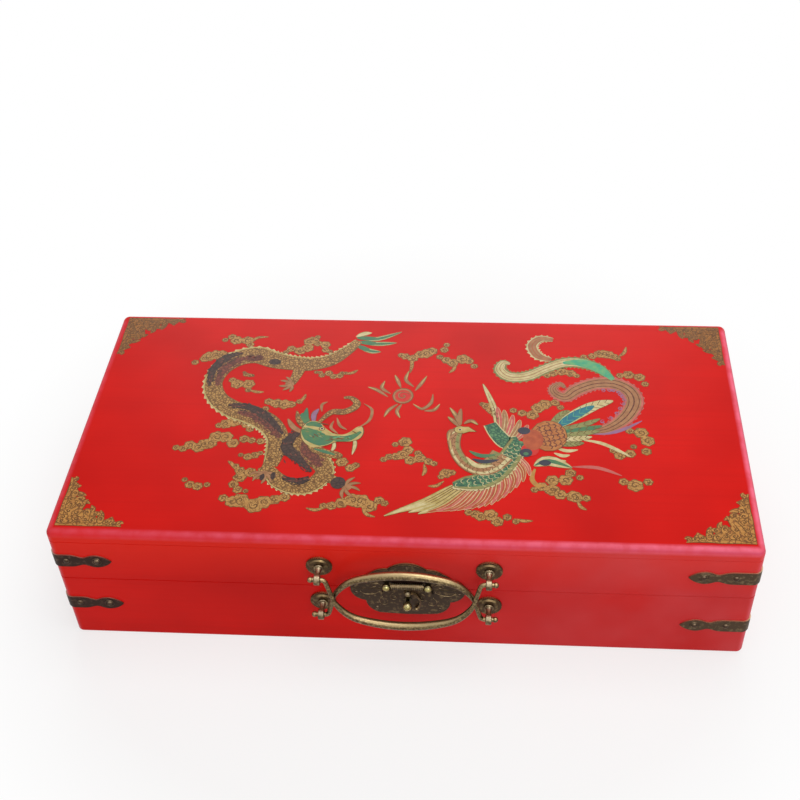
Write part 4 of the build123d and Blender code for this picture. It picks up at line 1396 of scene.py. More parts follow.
    def front_wing(self) -> None:
        """Paint the wing in front of the body: primaries, a pale scalloped edge and scaled coverts."""
        for number, route in enumerate(doubled(self.near_feathers)):
            coat = 2 + 0.08 * number
            if number < self.pale_feathers:
                self.feather(route, 4.6, Paint.PALE_GOLD, Paint.UMBER, coat, False)
                self.work.stroke(Paint.CREAM, on_lid(route[1:]), 1.6, 3.4, 0.1)
            else:
                self.feather(route, 3.0, (Paint.ROSE, Paint.RUST)[number % 2], Paint.CREAM, coat, False)
        line, widths = curve_through(on_lid(self.near_wing), steps=7), self.near_wing_widths_mm
        for index in range(1, len(line), 2):
            edge = line[index] + left_of(line, index) * spread(widths, index / (len(line) - 1)) * 0.5
            self.work.dot(Paint.UMBER, edge, 4.3, 4.3, 3.8)
            self.work.dot(Paint.CREAM, edge, 3.5, 3.5, 4.2)
        self.work.band(Paint.UMBER, line, wider(widths, self.rim_mm), 4.4)
        self.work.band(Paint.OLIVE, line, widths, 4.8)
        self.work.band(Paint.GREEN_SCALES, line, widths, 5.4, 0.14, 0.82)
        self.work.scales(Paint.CREAM, line, widths, 6, 3.4, 0.45)

    def tail(self) -> None:
        """Paint the plumes and coverts behind the body."""
        self.long_plume(self.plume, self.plume_widths_mm, Paint.TAN, Paint.ROSE, Paint.MAROON, 1)
        rim = curve_through(on_lid(self.plume[1:7]), steps=5)
        for index in range(1, len(rim) - 1, 2):
            self.work.spiral(Paint.MAUVE, rim[index] + left_of(rim, index) * 7.0, 1.9, index, 1, 0.9, 3.2)
        self.long_plume(self.green_plume, self.green_plume_widths_mm, Paint.CREAM, Paint.OLIVE, Paint.TAN, 1)
        self.work.band(Paint.SEA_GREEN, curve_through(on_lid(self.green_plume[:4]), steps=6), (3, 8, 8, 2), 3)
        self.long_plume(self.brown_plume, self.brown_plume_widths_mm, Paint.TAN, Paint.CREAM, Paint.RUST, 1.3)
        for route, paint in zip(self.thin_plumes, self.thin_paints):
            self.work.stroke(paint, on_lid(route), 2.9, 2.4, 0.2)
        for number, (route, paint) in enumerate(zip(self.coverts, self.covert_paints)):
            self.feather(route, 5.0, paint, Paint.UMBER, 2.6 + 0.12 * number)
        self.feather(self.blue_plume, 9.6, Paint.CREAM, Paint.UMBER, 4)
        self.feather(self.blue_plume[:-1], 7.0, Paint.BLUE, Paint.SEA_GREEN, 5)

    def trunk(self) -> None:
        """Paint legs, body and shoulders."""
        self.work.strokes(on_lid(self.thigh), self.thigh_strokes)
        self.work.stroke(Paint.GOLD, on_lid(self.claw), 3.4, 3, 0.4)
        place = on_lid((self.body_at,))[0]
        self.work.dot(Paint.UMBER, place, 25.0, 30.0, 6)
        self.work.dot(Paint.RED_GOLD, place, 24.0, 29.0, 6.6)
        rows = curve_through(on_lid(self.body_line), steps=9)
        self.work.scales(Paint.MAROON, rows, self.body_widths_mm, 6.9, 3.6, 0.75)
        for share in self.body_lines:
            self.work.band(Paint.MAROON, rows, self.body_widths_mm, 6.75, share - 0.012, share + 0.012)
        for spot, width, height, paint in self.body_spots:
            self.work.dot(paint, on_lid((spot,))[0], width, height, 7)

    def neck(self) -> None:
        """Paint the striped and scaled neck with its hackles."""
        line, widths = curve_through(on_lid(self.neck_line), steps=6), self.neck_widths_mm
        self.work.band(Paint.UMBER, line, wider(widths, 0.8), 5)
        self.work.band(Paint.TAN, line, widths, 6)
        self.work.band(Paint.CREAM, line, widths, 6.4, 0.72, 0.9)
        self.work.band(Paint.OLIVE, line, widths, 6.4, 0.1, 0.4)
        self.work.scales(Paint.UMBER, line, widths, 7, 2.8, 0.5)
        for hackle, paint in zip(self.hackles, self.hackle_paints):
            self.work.stroke(paint, on_lid(hackle), 3.4, 7.4)

    def head(self) -> None:
        """Paint the head with beak and crest."""
        place = on_lid((self.head_at,))[0]
        for plume in self.crest:
            self.work.strokes(on_lid(plume), self.crest_strokes)
            self.work.stroke(Paint.PALE_GOLD, on_lid(plume[1:]), 1.2, 7.4, 0.2)
        beak = on_lid(self.beak)
        self.work.fill(Paint.UMBER, beak, 7.6)
        self.work.fill(Paint.PALE_GOLD, [p + (place - p) * 0.08 for p in beak], 8)
        for paint, size, coat in self.head_discs:
            self.work.dot(paint, place, size, size * 0.9, coat)

    def paint(self) -> None:
        """Paint the whole phoenix, from the tail to the head."""
        for part in (self.tail, self.back_wing, self.front_wing, self.trunk, self.neck, self.head):
            part()


@dataclass
class FlamingPearl:
    """The pearl between them, ringed and wrapped in thin flames."""

    work: Brushwork
    centre: Point = (403, 396)
    flames: Paths = (
        ((409, 371), (406, 380), (414, 387)), ((427, 376), (421, 384), (415, 391)),
        ((368, 387), (377, 390), (388, 397)), ((385, 381), (382, 388), (391, 394)),
        ((384, 417), (389, 410), (398, 404)), ((400, 418), (397, 411), (402, 404)),
        ((413, 404), (422, 409), (431, 403), (433, 394)), ((440, 404), (434, 410), (424, 411)),
        ((395, 375), (398, 381), (401, 388)),
    )
    flame_strokes: tuple[Stroke, ...] = (Stroke(Paint.UMBER, 2.9, 1), Stroke(Paint.TAN, 2.2, 1.6))
    discs: tuple[tuple[Paint, float], ...] = (
        (Paint.UMBER, 15.0), (Paint.TAN, 14.0), (Paint.RUST, 12.0), (Paint.VERMILION, 10.4))

    def paint(self) -> None:
        """Paint pearl and flames."""
        for flame in self.flames:
            self.work.strokes(on_lid(flame), self.flame_strokes)
            self.work.stroke(Paint.PALE_GOLD, on_lid(flame[:2]), 0.8, 2.2, 0.2)
        place = VIEW.on_lid(self.centre, LID_TOP_MM)
        for paint, size in self.discs:
            self.work.dot(paint, place, size, size * 1.1, 2 + (16.0 - size) * 0.2)
        self.work.spiral(Paint.UMBER, place, 4.6, 0.4, 1, 1.1, 3.6)
        self.work.spiral(Paint.TAN, place, 4.6, 0.7, 1, 0.7, 4.2)


@dataclass
class LidPainting:
    """The whole painting: clouds first, then dragon, pearl and phoenix over them."""

    clouds: tuple[Cloud, ...] = (
        Cloud(((197, 363), (206, 355), (218, 352), (231, 353)), 13.0),
        Cloud(((226, 341), (237, 338), (246, 343), (250, 350)), 11.0,
              (((249, 345), (257, 338), (269, 337)),)),
        Cloud(((286, 351), (299, 349), (312, 343), (316, 337)), 11.0),
        Cloud(((318, 340), (323, 346), (331, 351)), 9.0),
        Cloud(((316, 373), (331, 375), (346, 374)), 7.0, (((344, 374), (352, 373), (358, 370)),)),
        Cloud(((234, 379), (243, 384), (250, 389)), 12.0, (((249, 390), (257, 392), (264, 392)),)),
        Cloud(((244, 373), (253, 375)), 5.0),
        Cloud(((264, 408), (275, 401), (288, 402), (299, 403)), 12.0,
              (((297, 402), (303, 399), (306, 394)),)),
        Cloud(((219, 427), (230, 426), (241, 424), (248, 430)), 13.0),
        Cloud(((177, 446), (192, 447), (205, 441), (222, 440), (240, 441), (260, 443)), 13.0),
        Cloud(((241, 456), (251, 454), (260, 452)), 9.0),
        Cloud(((234, 467), (240, 474), (252, 475), (262, 471)), 11.0,
              (((236, 470), (232, 464), (228, 461)),)),
        Cloud(((184, 481), (195, 483), (206, 486)), 10.0),
        Cloud(((221, 500), (232, 505), (245, 504), (258, 499), (272, 497), (284, 495)), 17.0),
        Cloud(((234, 478), (238, 486), (244, 492)), 9.0),
        Cloud(((324, 459), (334, 463), (346, 466), (355, 464)), 12.0),
        Cloud(((323, 508), (336, 508), (350, 504), (362, 505), (374, 502), (383, 505)), 14.0,
              (((324, 508), (315, 510), (306, 508)), ((362, 505), (366, 514), (375, 517)))),
        Cloud(((402, 354), (412, 356), (424, 357), (436, 352), (448, 346)), 12.0,
              (((411, 357), (412, 365), (410, 373)),)),
        Cloud(((441, 356), (452, 360), (464, 362), (475, 365)), 12.0,
              (((455, 363), (454, 369), (449, 373)),)),
        Cloud(((384, 458), (395, 459), (408, 457), (420, 461), (433, 465)), 11.0,
              (((424, 464), (425, 471), (422, 476)),)),
        Cloud(((396, 443), (408, 446), (416, 454)), 12.0),
        Cloud(((585, 358), (598, 352), (610, 353), (619, 358)), 11.0,
              (((618, 357), (624, 353), (626, 347)),)),
        Cloud(((620, 377), (633, 378), (646, 383)), 12.0),
        Cloud(((481, 405), (489, 411), (496, 419)), 10.0),
        Cloud(((514, 409), (528, 412), (540, 411), (551, 405), (561, 406)), 13.0),
        Cloud(((548, 377), (562, 374), (576, 377)), 11.0),
        Cloud(((632, 430), (640, 438), (649, 451)), 15.0),
        Cloud(((613, 452), (624, 453), (635, 448)), 11.0),
        Cloud(((624, 480), (636, 482), (648, 484)), 14.0),
        Cloud(((535, 488), (546, 489), (556, 483), (566, 476), (580, 476)), 13.0),
        Cloud(((557, 489), (566, 495), (575, 501), (585, 497)), 12.0,
              (((577, 500), (581, 507), (587, 510)),)),
        Cloud(((442, 478), (453, 474)), 11.0, (((444, 481), (436, 486), (428, 486)),)),
        Cloud(((469, 511), (480, 513), (489, 518), (502, 519), (516, 520)), 11.0,
              (((514, 519), (523, 521), (533, 521)),)),
    )

    def build(self) -> list[Piece]:
        """Paint everything and lay it on the lid.

        Returns:
            The meshes of the painting.
        """
        sky, beasts = lid_brushwork("cloud_painting"), lid_brushwork("beast_painting")
        for cloud in self.clouds:
            cloud.paint(sky)
        for painted in (FlamingPearl, Dragon, Phoenix):
            painted(beasts).paint()
        return sky.place() + beasts.place()


@dataclass
class CornerOrnament:
    """A gilt fan of curls and pointed leaves in one corner of the lid, parted by dark lines.

    Its points are shares of its two arms, the first along the front or back edge of the lid.
    """

    work: Brushwork
    hand: int
    side: int
    along_mm: float = 42.0
    deep_mm: float = 41.5
    side_inset_mm: float = 5.6
    front_inset_mm: float = 6.6
    rear_inset_mm: float = 4.4
    ground: Path = ((0.0, 0.0), (0.93, 0.0), (0.80, 0.10), (0.60, 0.17), (0.50, 0.29), (0.32, 0.34))
    stem: Path = ((0.0, 0.03), (0.25, 0.035), (0.5, 0.03), (0.75, 0.045), (0.9, 0.03), (1.02, 0.0))
    curls: tuple[tuple[Point, float], ...] = (
        ((0.88, 0.065), 3.2), ((0.78, 0.10), 4.2), ((0.67, 0.14), 5.0), ((0.55, 0.12), 4.8),
        ((0.56, 0.25), 4.6), ((0.43, 0.13), 5.2), ((0.43, 0.27), 5.2), ((0.30, 0.14), 5.2),
        ((0.17, 0.08), 4.6),
    )
    leaves: Paths = (
        ((0.86, 0.06), (0.83, 0.14), (0.84, 0.20)), ((0.66, 0.15), (0.66, 0.24), (0.63, 0.33)),
        ((0.47, 0.26), (0.50, 0.35), (0.46, 0.43)), ((0.95, 0.04), (0.99, 0.08), (1.04, 0.07)),
    )
    lobe: Path = ((0.20, 0.20), (0.28, 0.38), (0.38, 0.55))
    heart: Point = (0.22, 0.22)
    rosettes: Path = ((0.09, 0.09), (0.27, 0.27))
    rosette_mm: float = 5.4
    stem_widths_mm: Widths = (2.0, 2.4, 2.2, 2.0, 0.3)
    stem_rim_widths_mm: Widths = (3.0, 3.4, 3.2, 3.0, 0.8)
    leaf_mm: float = 3.2
    lobe_mm: float = 6.0
    ground_rim_mm: float = 0.7
    curl_rim_mm: float = 0.9
    curl_turn_deg: float = 47.0

    @property
    def gilt(self) -> Paint:
        """The gold of this corner: the two at the back get a darker copy, as painted shade."""
        return Paint.SHADED_LEAF if self.side > 0 else Paint.LEAF

    def map(self, share: Point, swapped: bool = False) -> Vector:
        """Turn shares of the two arms, measured from the lid's corner, into a point on the lid.

        Args:
            share: The shares.
            swapped: Whether the first share belongs to the second arm.

        Returns:
            The point, in millimetres.
        """
        low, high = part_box("lid_top_board")
        along, deep = reversed(share) if swapped else share
        corner_x = (high.x if self.hand > 0 else low.x) / MM - self.hand * self.side_inset_mm
        inset = self.rear_inset_mm if self.side > 0 else self.front_inset_mm
        corner_y = (high.y if self.side > 0 else low.y) / MM - self.side * inset
        return Vector((corner_x - self.hand * along * self.along_mm,
                       corner_y - self.side * deep * self.deep_mm))

    def curl(self, centre: Vector, size: float, number: int, coat: float) -> None:
        """Paint one curl: a dark rim, gilt, and a dark line that winds into it.

        Args:
            centre: Its middle.
            size: Its width.
            number: Its number, which turns it another way.
            coat: Its first coat.
        """
        turn_deg = number * self.curl_turn_deg * self.hand * self.side
        long, short, rim = size * 1.35, size * 0.8, self.curl_rim_mm
        self.work.dot(Paint.UMBER, centre, long + rim, short + rim, coat, turn_deg)
        self.work.dot(self.gilt, centre, long, short, coat + 0.5, turn_deg)
        winds = self.hand * self.side * (1 if number % 2 else -1)
        self.work.spiral(Paint.UMBER, centre, size * 0.34, number * 1.9, winds, 0.9, coat + 1)

    def leaf(self, points: Line, width: float, coat: float) -> None:
        """Paint one pointed leaf with its vein.

        Args:
            points: The points that its middle passes through.
            width: Its width near the root.
            coat: Its first coat.
        """
        line = curve_through(points, steps=5)
        self.work.band(Paint.UMBER, line, (width + 1.2, width + 1.4, width * 0.6 + 1.2, 0.4), coat)
        self.work.band(self.gilt, line, (width, width, width * 0.6, 0.1), coat + 0.5)
        self.work.band(Paint.UMBER, line[:-4], (0.3, 0.7, 0.2), coat + 1)

    def build(self) -> None:
        """Paint the ornament."""
        border = [self.map(share) for share in self.ground]
        border += [self.map(share, True) for share in reversed(self.ground[1:])]
        self.work.fill(Paint.UMBER, border, 0)
        self.work.fill(self.gilt, shrunk(border, self.map(self.heart), self.ground_rim_mm), 0.25)
        for swapped in (False, True):
            for route in self.leaves:
                self.leaf([self.map(share, swapped) for share in route], self.leaf_mm, 0.3)
            line = curve_through([self.map(share, swapped) for share in self.stem], steps=5)
            self.work.band(Paint.UMBER, line, self.stem_rim_widths_mm, 1)
            self.work.band(self.gilt, line, self.stem_widths_mm, 1.5)
            for number, (share, size) in enumerate(self.curls):
                self.curl(self.map(share, swapped), size, number, 1.6 + 0.3 * number)
        self.leaf([self.map(share) for share in self.lobe], self.lobe_mm, 4)
        for number, share in enumerate(self.rosettes):
            self.curl(self.map(share), self.rosette_mm, number, 4.6)


@dataclass
class RaisedTrim:
    """Thin raised lines of metal on the hardware, each a tube drawn along a path."""

    name: str
    body: str
    sides: int = 8
    points: Line = field(default_factory=list)
    faces: list[Face] = field(default_factory=list)

    def tube(self, path: Line, radius: float, out: Vector, closed: bool) -> None:
        """Add one tube.

        Args:
            path: Its middle, in millimetres.
            radius: Its radius.
            out: A direction that no part of the path runs in.
            closed: Whether its end joins its start.
        """
        first, count = len(self.points), len(path)
        for index, place in enumerate(path):
            before = path[index - 1] if closed or index else place
            after = path[(index + 1) % count] if closed or index < count - 1 else place
            ahead = (after - before).normalized()
            side = ahead.cross(out).normalized()
            rise = side.cross(ahead)
            self.points += [(place + (side * math.cos(a) + rise * math.sin(a)) * radius) * MM
                            for a in (math.tau * k / self.sides for k in range(self.sides))]
        for index in range(count if closed else count - 1):
            here, there = first + index * self.sides, first + (index + 1) % count * self.sides
            for k in range(self.sides):
                after = (k + 1) % self.sides
                self.faces.append((here + k, here + after, there + after, there + k))
        if not closed:
            last = first + (count - 1) * self.sides
            self.faces.append(tuple(range(first + self.sides - 1, first - 1, -1)))
            self.faces.append(tuple(range(last, last + self.sides)))

    def ring(self, centre: Vector, axis: Vector, radius: float, wire: float, count: int = 28) -> None:
        """Add one ring.

        Args:
            centre: Its middle, in millimetres.
            axis: The direction that it turns about.
            radius: The radius of its middle line.
            wire: The radius of its wire.
            count: How many pieces it is cut into.
        """
        across = axis.orthogonal().normalized()
        upward = axis.cross(across).normalized()
        path = [centre + (across * math.cos(a) + upward * math.sin(a)) * radius
                for a in (math.tau * k / count for k in range(count))]
        self.tube(path, wire, axis, True)

    def place(self, finish: AgedBrass) -> Piece:
        """Make the mesh and let it ride on its body.

        Args:
            finish: The metal that it is made of.

        Returns:
            The mesh.
        """
        piece = add_mesh(self.name, self.points, self.faces, material_of(finish))
        piece.data.shade_smooth()
        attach(piece, self.body)
        log.info("%s: %d faces", self.name, len(self.faces))
        return piece


@dataclass
class LockTrim:
    """What the stamping die and the lathe left on the lock: a ribbed barrel and volutes."""

    rib_pitch_mm: float = 1.25
    rib_mm: float = 0.34
    rib_sunk_mm: float = 0.05
    rib_pieces: int = 20
    stud_gap_mm: float = 1.0
    hasp_sheet_mm: float = 1.1
    volute_mm: float = 0.22
    # The outline of the painted shadow on the plate above the barrel, from the plate's middle and the seam.
    shadow_patch: Path = ((-10.4, 3.6), (10.4, 3.6), (10.4, 9.2), (9.6, 9.8), (-9.6, 9.8), (-10.4, 9.2))
    hasp_volutes: Paths = (
        ((9.2, -2.4), (11.0, -4.2), (11.3, -7.2), (9.4, -9.0), (7.3, -7.9), (7.8, -6.2), (9.1, -6.8)),
    )
    plate_volutes: Paths = (
        ((19.5, 8.6), (24.0, 9.4), (29.0, 7.2), (32.6, 3.2), (34.2, 1.6)),
        ((16.8, 3.4), (20.2, 5.4), (22.8, 4.0), (22.2, 1.8), (20.4, 2.0)),
    )
    lower_volutes: Paths = (
        ((17.6, -2.6), (22.0, -5.4), (27.6, -5.8), (31.0, -3.0)),
        ((16.4, -8.0), (18.8, -12.2), (16.8, -16.0), (13.4, -15.2), (13.8, -12.8)),
    )

    def volutes(self, name: str, body: str, node: str, routes: Paths) -> Piece:
        """Draw raised lines on a plate, mirrored left and right.

        Args:
            name: The piece's name.
            body: The body that it rides on.
            node: The plate that carries them.
            routes: Points from the plate's middle and the seam, in millimetres.

        Returns:
            The mesh.
        """
        low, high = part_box(node)
        middle, seam = (low.x + high.x) / 2 / MM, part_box("lid_front_rail")[0].z / MM
        face = self.front_of(node) / MM
        trim = RaisedTrim(name, body)
        for route in routes:
            for hand in (-1, 1):
                line = curve_through([Vector((middle + hand * x, face, seam + z)) for x, z in route], steps=5)
                trim.tube(line, self.volute_mm, Vector((0.0, -1.0, 0.0)), False)
        return trim.place(Hardware.hook)

    def front_of(self, node: str) -> float:
        """Find a plate's flat front; the hasp's lies behind its barrel, one sheet before its back.

        Args:
            node: The plate.

        Returns:
            Its Y, in metres.
        """
        low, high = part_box(node)
        return high.y - self.hasp_sheet_mm * MM if node == "hasp" else low.y

    def barrel_shadow(self) -> list[Piece]:
        """Paint the shadow that falls on the plate behind the barrel, as a black patch.

        Returns:
            The meshes.
        """
        low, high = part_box("upper_lock_plate")
        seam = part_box("lid_front_rail")[0].z
        work = Brushwork("plate_painted_shadow", "lid", "antique_brass",
                         Vector(((low.x + high.x) / 2, low.y, seam)) / MM, upward=Vector((0.0, 0.0, 1.0)))
        work.fill(Paint.PAINTED_SHADOW, [Vector(point) for point in self.shadow_patch], 0)
        return work.place()

    def barrel(self) -> Piece:
        """Draw the ribs round the hasp's barrel.

        Returns:
            The mesh.
        """
        low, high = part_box("hasp_hinge_rod")
        axis = (low + high) / 2 / MM
        radius = axis.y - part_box("hasp")[0].y / MM
        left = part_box("hasp_stud_left")[1].x / MM + self.stud_gap_mm
        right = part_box("hasp_stud_right")[0].x / MM - self.stud_gap_mm
        count = round((right - left) / self.rib_pitch_mm)
        trim = RaisedTrim("hasp_barrel_ribs", "hasp")
        for number in range(count + 1):
            place = Vector((left + (right - left) * number / count, axis.y, axis.z))
            trim.ring(place, Vector((1.0, 0.0, 0.0)), radius - self.rib_sunk_mm, self.rib_mm, self.rib_pieces)
        return trim.place(Hardware.post)

    def build(self) -> None:
        """Add everything to the lock."""
        self.barrel_shadow()
        self.barrel()
        self.volutes("hasp_volutes", "hasp", "hasp", self.hasp_volutes)
        self.volutes("upper_plate_volutes", "lid", "upper_lock_plate", self.plate_volutes)
        self.volutes("lower_plate_volutes", "base", "lower_lock_plate", self.lower_volutes)


@dataclass
class StrapRings:
    """The ring stamped round the far nail on both arms of every corner strap."""

    nail_from_tip_mm: float = 9.5
    radius_mm: float = 2.9
    wire_mm: float = 0.3

    def pair(self, trim: RaisedTrim, strap: str) -> None:
        """Add the rings on both arms of one strap.

        Args:
            trim: What collects the rings.
            strap: The strap's name.
        """
        low, high = (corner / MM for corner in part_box(strap))
        outer = Vector([a if a + b < 0 else b for a, b in zip(low, high)])
        tip = Vector([b if a + b < 0 else a for a, b in zip(low, high)])
        back_x, back_y = (math.copysign(self.nail_from_tip_mm, edge) for edge in (outer.x, outer.y))
        height = (low.z + high.z) / 2
        front_nail = Vector((tip.x + back_x, outer.y, height))
        side_nail = Vector((outer.x, tip.y + back_y, height))
        trim.ring(front_nail, Vector((0.0, 1.0, 0.0)), self.radius_mm, self.wire_mm)
        trim.ring(side_nail, Vector((1.0, 0.0, 0.0)), self.radius_mm, self.wire_mm)

    def build(self) -> None:
        """Lay a ring round each far nail."""
        for body in ("lid", "base"):
            for side in ("left", "right"):
                trim = RaisedTrim(f"{body}_strap_rings_{side}", body)
                for end in ("front", "rear"):
                    self.pair(trim, f"{body}_strap_{end}_{side}")
                trim.place(Hardware.nail)


@dataclass
class RebatePlugs:
    """Slips of lacquered wood that close the ends of the floor's rebate at the four bottom corners.

    Each lies between two depths from the case's front or back and reaches in from its side.
    """

    inner_mm: float = 6.0
    outer_mm: float = 5.0
    reach_mm: float = 4.9
    height_mm: float = 5.9
    round_mm: float = 1.5
    slack_mm: float = 0.02

    def section(self, corner_x: float, hand: int) -> list[Point]:
        """Give the slip's outline across the case, rounded like the boards beside it.

        Args:
            corner_x: The case's side.
            hand: 1 for the right side, -1 for the left.

        Returns:
            X and Z of its points.
        """
        turn = [(self.round_mm * (1 - math.sin(a)), self.round_mm * (1 - math.cos(a)))
                for a in (math.pi / 2 * k / 6 for k in range(7))]
        shape = [(self.slack_mm + x, self.slack_mm + z) for x, z in reversed(turn)]
        shape += [(self.reach_mm, self.slack_mm), (self.reach_mm, self.height_mm)]
        shape.append((self.slack_mm, self.height_mm))
        return [(corner_x - hand * x, z) for x, z in shape]

    def slip(self, shape: list[Point], edge_y: float, inward: int, outward_order: bool
             ) -> tuple[Line, list[Face]]:
        """Make one slip from its outline, laid at two depths.

        Args:
            shape: Its outline.
            edge_y: The face of the case that it is let in from.
            inward: 1 or -1 for the way into the case along Y.
            outward_order: Whether the outline's order already turns the faces outwards.

        Returns:
            Its points and its faces.
        """
        depths = (self.outer_mm + self.slack_mm, self.inner_mm - self.slack_mm)
        points = [Vector((x, edge_y + inward * depth, z)) * MM for depth in depths for x, z in shape]
        count = len(shape)
        faces = [(k, (k + 1) % count, count + (k + 1) % count, count + k) for k in range(count)]
        faces += [tuple(range(count - 1, -1, -1)), tuple(range(count, 2 * count))]
        return points, faces if outward_order else [face[::-1] for face in faces]

    def build(self) -> Piece:
        """Make the four slips.

        Returns:
            The mesh.
        """
        front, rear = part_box("base_front_panel")[0] / MM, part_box("base_rear_panel")[1] / MM
        points, faces = [], []
        for hand, corner_x in ((-1, front.x), (1, rear.x)):
            for inward, edge_y in ((1, front.y), (-1, rear.y)):
                corners, polygons = self.slip(self.section(corner_x, hand), edge_y, inward, hand * inward < 0)
                faces += [tuple(len(points) + number for number in face) for face in polygons]
                points += corners
        piece = add_mesh("rebate_plugs", points, faces, material_of(Hardware.lacquer))
        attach(piece, "base")
        log.info("rebate_plugs: %d faces", len(faces))
        return piece


@dataclass
class Hardware:
    """The finish of every solid that the frame brings along."""

    lacquer: RubbedRedLacquer = RubbedRedLacquer()
    felt: WoolFelt = WoolFelt()
    # Painted shade: the left straps are a darker copy of the right ones' brass.
    left_strap: AgedBrass = AgedBrass(
        "stamped_brass_shaded_left", "#38261f", "#5c463a", "#b08c7c", rubbed_share=0.25, roughness=0.42)
    right_strap: AgedBrass = AgedBrass(
        "stamped_brass_browned_olive", "#4e3e2e", "#77654a", "#c0a080", rubbed_share=0.35, roughness=0.4)
    plate: AgedBrass = AgedBrass(
        "stamped_brass_plate_browned", "#43352a", "#7c6748", "#b49a70", rubbed_share=0.32, roughness=0.36)
    rosette: AgedBrass = AgedBrass(
        "milled_brass_browned", "#4c3a28", "#84704c", "#ac9268", rubbed_share=0.4, roughness=0.36)
    post: AgedBrass = AgedBrass(
        "turned_brass_rubbed", "#5c4c3a", "#90805f", "#b4a486", rubbed_share=0.6, roughness=0.34)
    hook: AgedBrass = AgedBrass(
        "cast_brass_browned", "#5a4634", "#9a805a", "#d8c090", rubbed_share=0.5, roughness=0.3)
    handle: AgedBrass = AgedBrass(
        "drawn_brass_wire_rubbed", "#54442f", "#8f7b57", "#b09b72", rubbed_share=0.65, roughness=0.3,
        patch_mm=1.3)
    # Painted shade: the studs and the staple are darker behind their front, towards the plate.
    ball: AgedBrass = AgedBrass(
        "turned_brass_worn_bright", "#766840", "#ac9e64", "#ccc190", rubbed_share=0.9, roughness=0.24,
        unshaded_front_mm=-116.6)
    hinge: AgedBrass = AgedBrass(
        "rolled_brass_hinge", "#6d5628", "#b8995a", "#d8bc80", rubbed_share=0.5, roughness=0.34)
    nail: AgedBrass = AgedBrass(
        "cast_brass_nail", "#44342a", "#74604c", "#98846c", rubbed_share=0.4, roughness=0.38)

    def rules(self) -> tuple[tuple[Finish, tuple[str, ...]], ...]:
        """List each finish with the words in a node's name that call for it.

        Returns:
            The rules; the first one that fits a name is taken.
        """
        return (
            (self.felt, ("lining",)),
            (self.nail, ("nails",)),
            (self.hinge, ("hinge_leaf", "hinge_pin", "hinge_screws")),
            (self.left_strap, ("strap_front_left", "strap_rear_left")),
            (self.right_strap, ("strap_front_right", "strap_rear_right")),
            (self.ball, ("staple", "hasp_stud")),
            (self.handle, ("handle", "hasp_hinge_rod")),
            (self.plate, ("plate", "hasp")),
            (self.hook, ("swivel_hook",)),
            (self.rosette, ("rosette",)),
            (self.post, ("post", "hook_pivot")),
        )

    def choose(self, node: str) -> Finish:
        """Pick a node's finish from its name.

        Args:
            node: The name.

        Returns:
            The finish; the wood's lacquer where no rule fits.
        """
        for finish, words in self.rules():
            if any(word in node for word in words):
                return finish
        return self.lacquer

    def dress(self, nodes: dict[str, bpy.types.Object]) -> None:
        """Give every node its finish.

        Args:
            nodes: The frame's objects by name.
        """
        used = set()
        for name, piece in nodes.items():
            finish = self.choose(name)
            used.add(finish)
            if not piece.material_slots:
                piece.data.materials.append(None)
            for holder in piece.material_slots:
                holder.link = "OBJECT"
                holder.material = material_of(finish)
        log.info("hardware: %d solids in %d finishes", len(nodes), len(used))


@dataclass(frozen=True)
class SoftBox:
    """A rectangular lamp behind cloth: where it hangs, its width and height, and its power."""

    name: str
    place_m: Triple
    size_m: Point
    watts: float


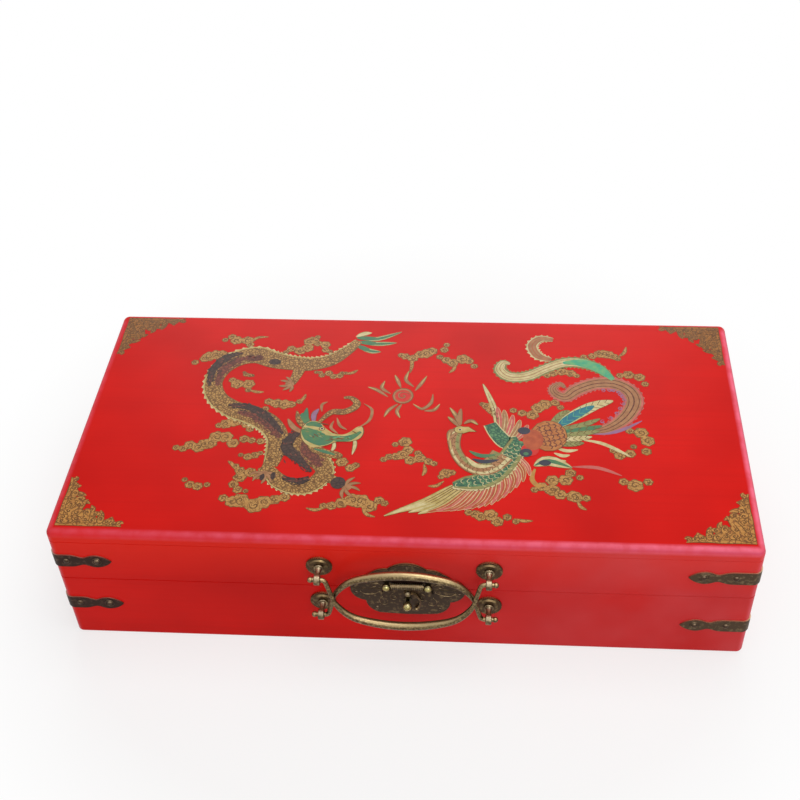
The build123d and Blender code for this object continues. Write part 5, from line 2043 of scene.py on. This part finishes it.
@dataclass
class Studio:
    """A white sweep and plain soft lamps, as for a catalogue picture."""

    paper: str = "#f4f3f2"
    white: str = "#ffffff"
    paper_white: float = 0.68
    fade_from_m: float = 0.25
    fade_to_m: float = 0.36
    half_floor_m: float = 4.0
    room_light: float = 0.38
    aim_m: Triple = (0.0, 0.0, 0.06)
    lamps: tuple[SoftBox, ...] = (
        SoftBox("front_soft_box", (0.6, -1.7, 1.2), (1.2, 0.9), 11.0),
        SoftBox("overhead_soft_box", (0.5, 0.0, 1.9), (1.4, 1.2), 16.0),
        SoftBox("back_soft_box", (-0.1, 1.5, 1.05), (1.2, 0.4), 9.0),
    )

    def background_rays(self, holder: Holder) -> Socket:
        """Find the rays that show the white background: straight, mirrored or through glass.

        Args:
            holder: The material or world that asks.

        Returns:
            One for such a ray, zero for others.
        """
        path = add_node(holder, "LightPath")
        direct = add_node(holder, "Math", {"operation": "MAXIMUM"},
                          {0: path.outputs["Is Camera Ray"], 1: path.outputs["Is Glossy Ray"]})
        seen = add_node(holder, "Math", {"operation": "MAXIMUM"},
                        {0: direct.outputs[0], 1: path.outputs["Is Transmission Ray"]})
        return seen.outputs[0]

    def paper_material(self) -> Material:
        """Build white paper that keeps the case's soft shadow and fades to plain white.

        Returns:
            The material.
        """
        made = new_material("matt_paper_sweep")
        shadow = add_node(made, "BsdfDiffuse", {"Color": linear(self.paper)})
        plain = add_node(made, "Emission", {"Color": linear(self.white), "Strength": 1.0})
        geometry = add_node(made, "NewGeometry")
        reach = add_node(made, "VectorMath", {"operation": "LENGTH"}, {0: geometry.outputs["Position"]})
        far = ramp(made, reach.outputs["Value"], self.fade_from_m, self.fade_to_m, self.paper_white, 1.0)
        seen = add_node(made, "Math", {"operation": "MULTIPLY"}, {0: self.background_rays(made), 1: far})
        mixed = add_node(made, "MixShader", {},
                         {0: seen.outputs[0], 1: shadow.outputs[0], 2: plain.outputs[0]})
        add_node(made, "OutputMaterial", {}, {"Surface": mixed.outputs[0]})
        return made

    def sweep(self) -> Piece:
        """Lay the paper under the case.

        Returns:
            The floor's object.
        """
        corners = [Vector((x * self.half_floor_m, y * self.half_floor_m, CAD_BOX[0].z))
                   for x, y in ((-1, -1), (1, -1), (1, 1), (-1, 1))]
        floor = add_mesh("paper_sweep", corners, [(0, 1, 2, 3)], self.paper_material())
        floor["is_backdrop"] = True
        return floor

    def hang(self, lamp: SoftBox) -> Piece:
        """Hang a soft box that looks at the case.

        Args:
            lamp: The soft box.

        Returns:
            The lamp's object.
        """
        light = bpy.data.lights.new(lamp.name, "AREA")
        light.shape = "RECTANGLE"
        light.size, light.size_y = lamp.size_m
        light.energy = lamp.watts
        holder = bpy.data.objects.new(lamp.name, light)
        aim = Vector(self.aim_m) - Vector(lamp.place_m)
        holder.rotation_euler = aim.to_track_quat("-Z", "Y").to_euler()
        holder.location = lamp.place_m
        bpy.context.collection.objects.link(holder)
        return holder

    def world(self) -> World:
        """Make the white world: a dim room for the case, plain white for the background.

        Returns:
            The world.
        """
        world = bpy.data.worlds.new("white_studio")
        world.use_nodes = True
        world.node_tree.nodes.clear()
        room = add_node(world, "Background", {"Color": linear(self.white), "Strength": self.room_light})
        plain = add_node(world, "Background", {"Color": linear(self.white), "Strength": 1.0})
        mixed = add_node(world, "MixShader", {},
                         {0: self.background_rays(world), 1: room.outputs[0], 2: plain.outputs[0]})
        add_node(world, "OutputWorld", {}, {"Surface": mixed.outputs[0]})
        return world

    def build(self) -> None:
        """Set up floor, lamps and the white world."""
        self.sweep()
        for lamp in self.lamps:
            self.hang(lamp)
        bpy.context.scene.world = self.world()
        bpy.context.scene.view_settings.view_transform = "Standard"
        log.info("studio: paper sweep, %d soft boxes and a white world", len(self.lamps))


def main() -> None:
    """Dress the case, paint it and set up the studio."""
    logging.basicConfig(level=logging.INFO, format="%(name)s: %(message)s")
    VIEW.set_up()
    Hardware().dress(frame["nodes"])
    LidPainting().build()
    corners = lid_brushwork("corner_painting")
    for hand in (-1, 1):
        for side in (-1, 1):
            CornerOrnament(corners, hand, side).build()
    corners.place()
    LockTrim().build()
    StrapRings().build()
    RebatePlugs().build()
    Studio().build()
    for number, edge in enumerate(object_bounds()):
        log.info("box corner %d: %s", number, [round(value / MM, 2) for value in edge])


if __name__ == "__main__":
    main()
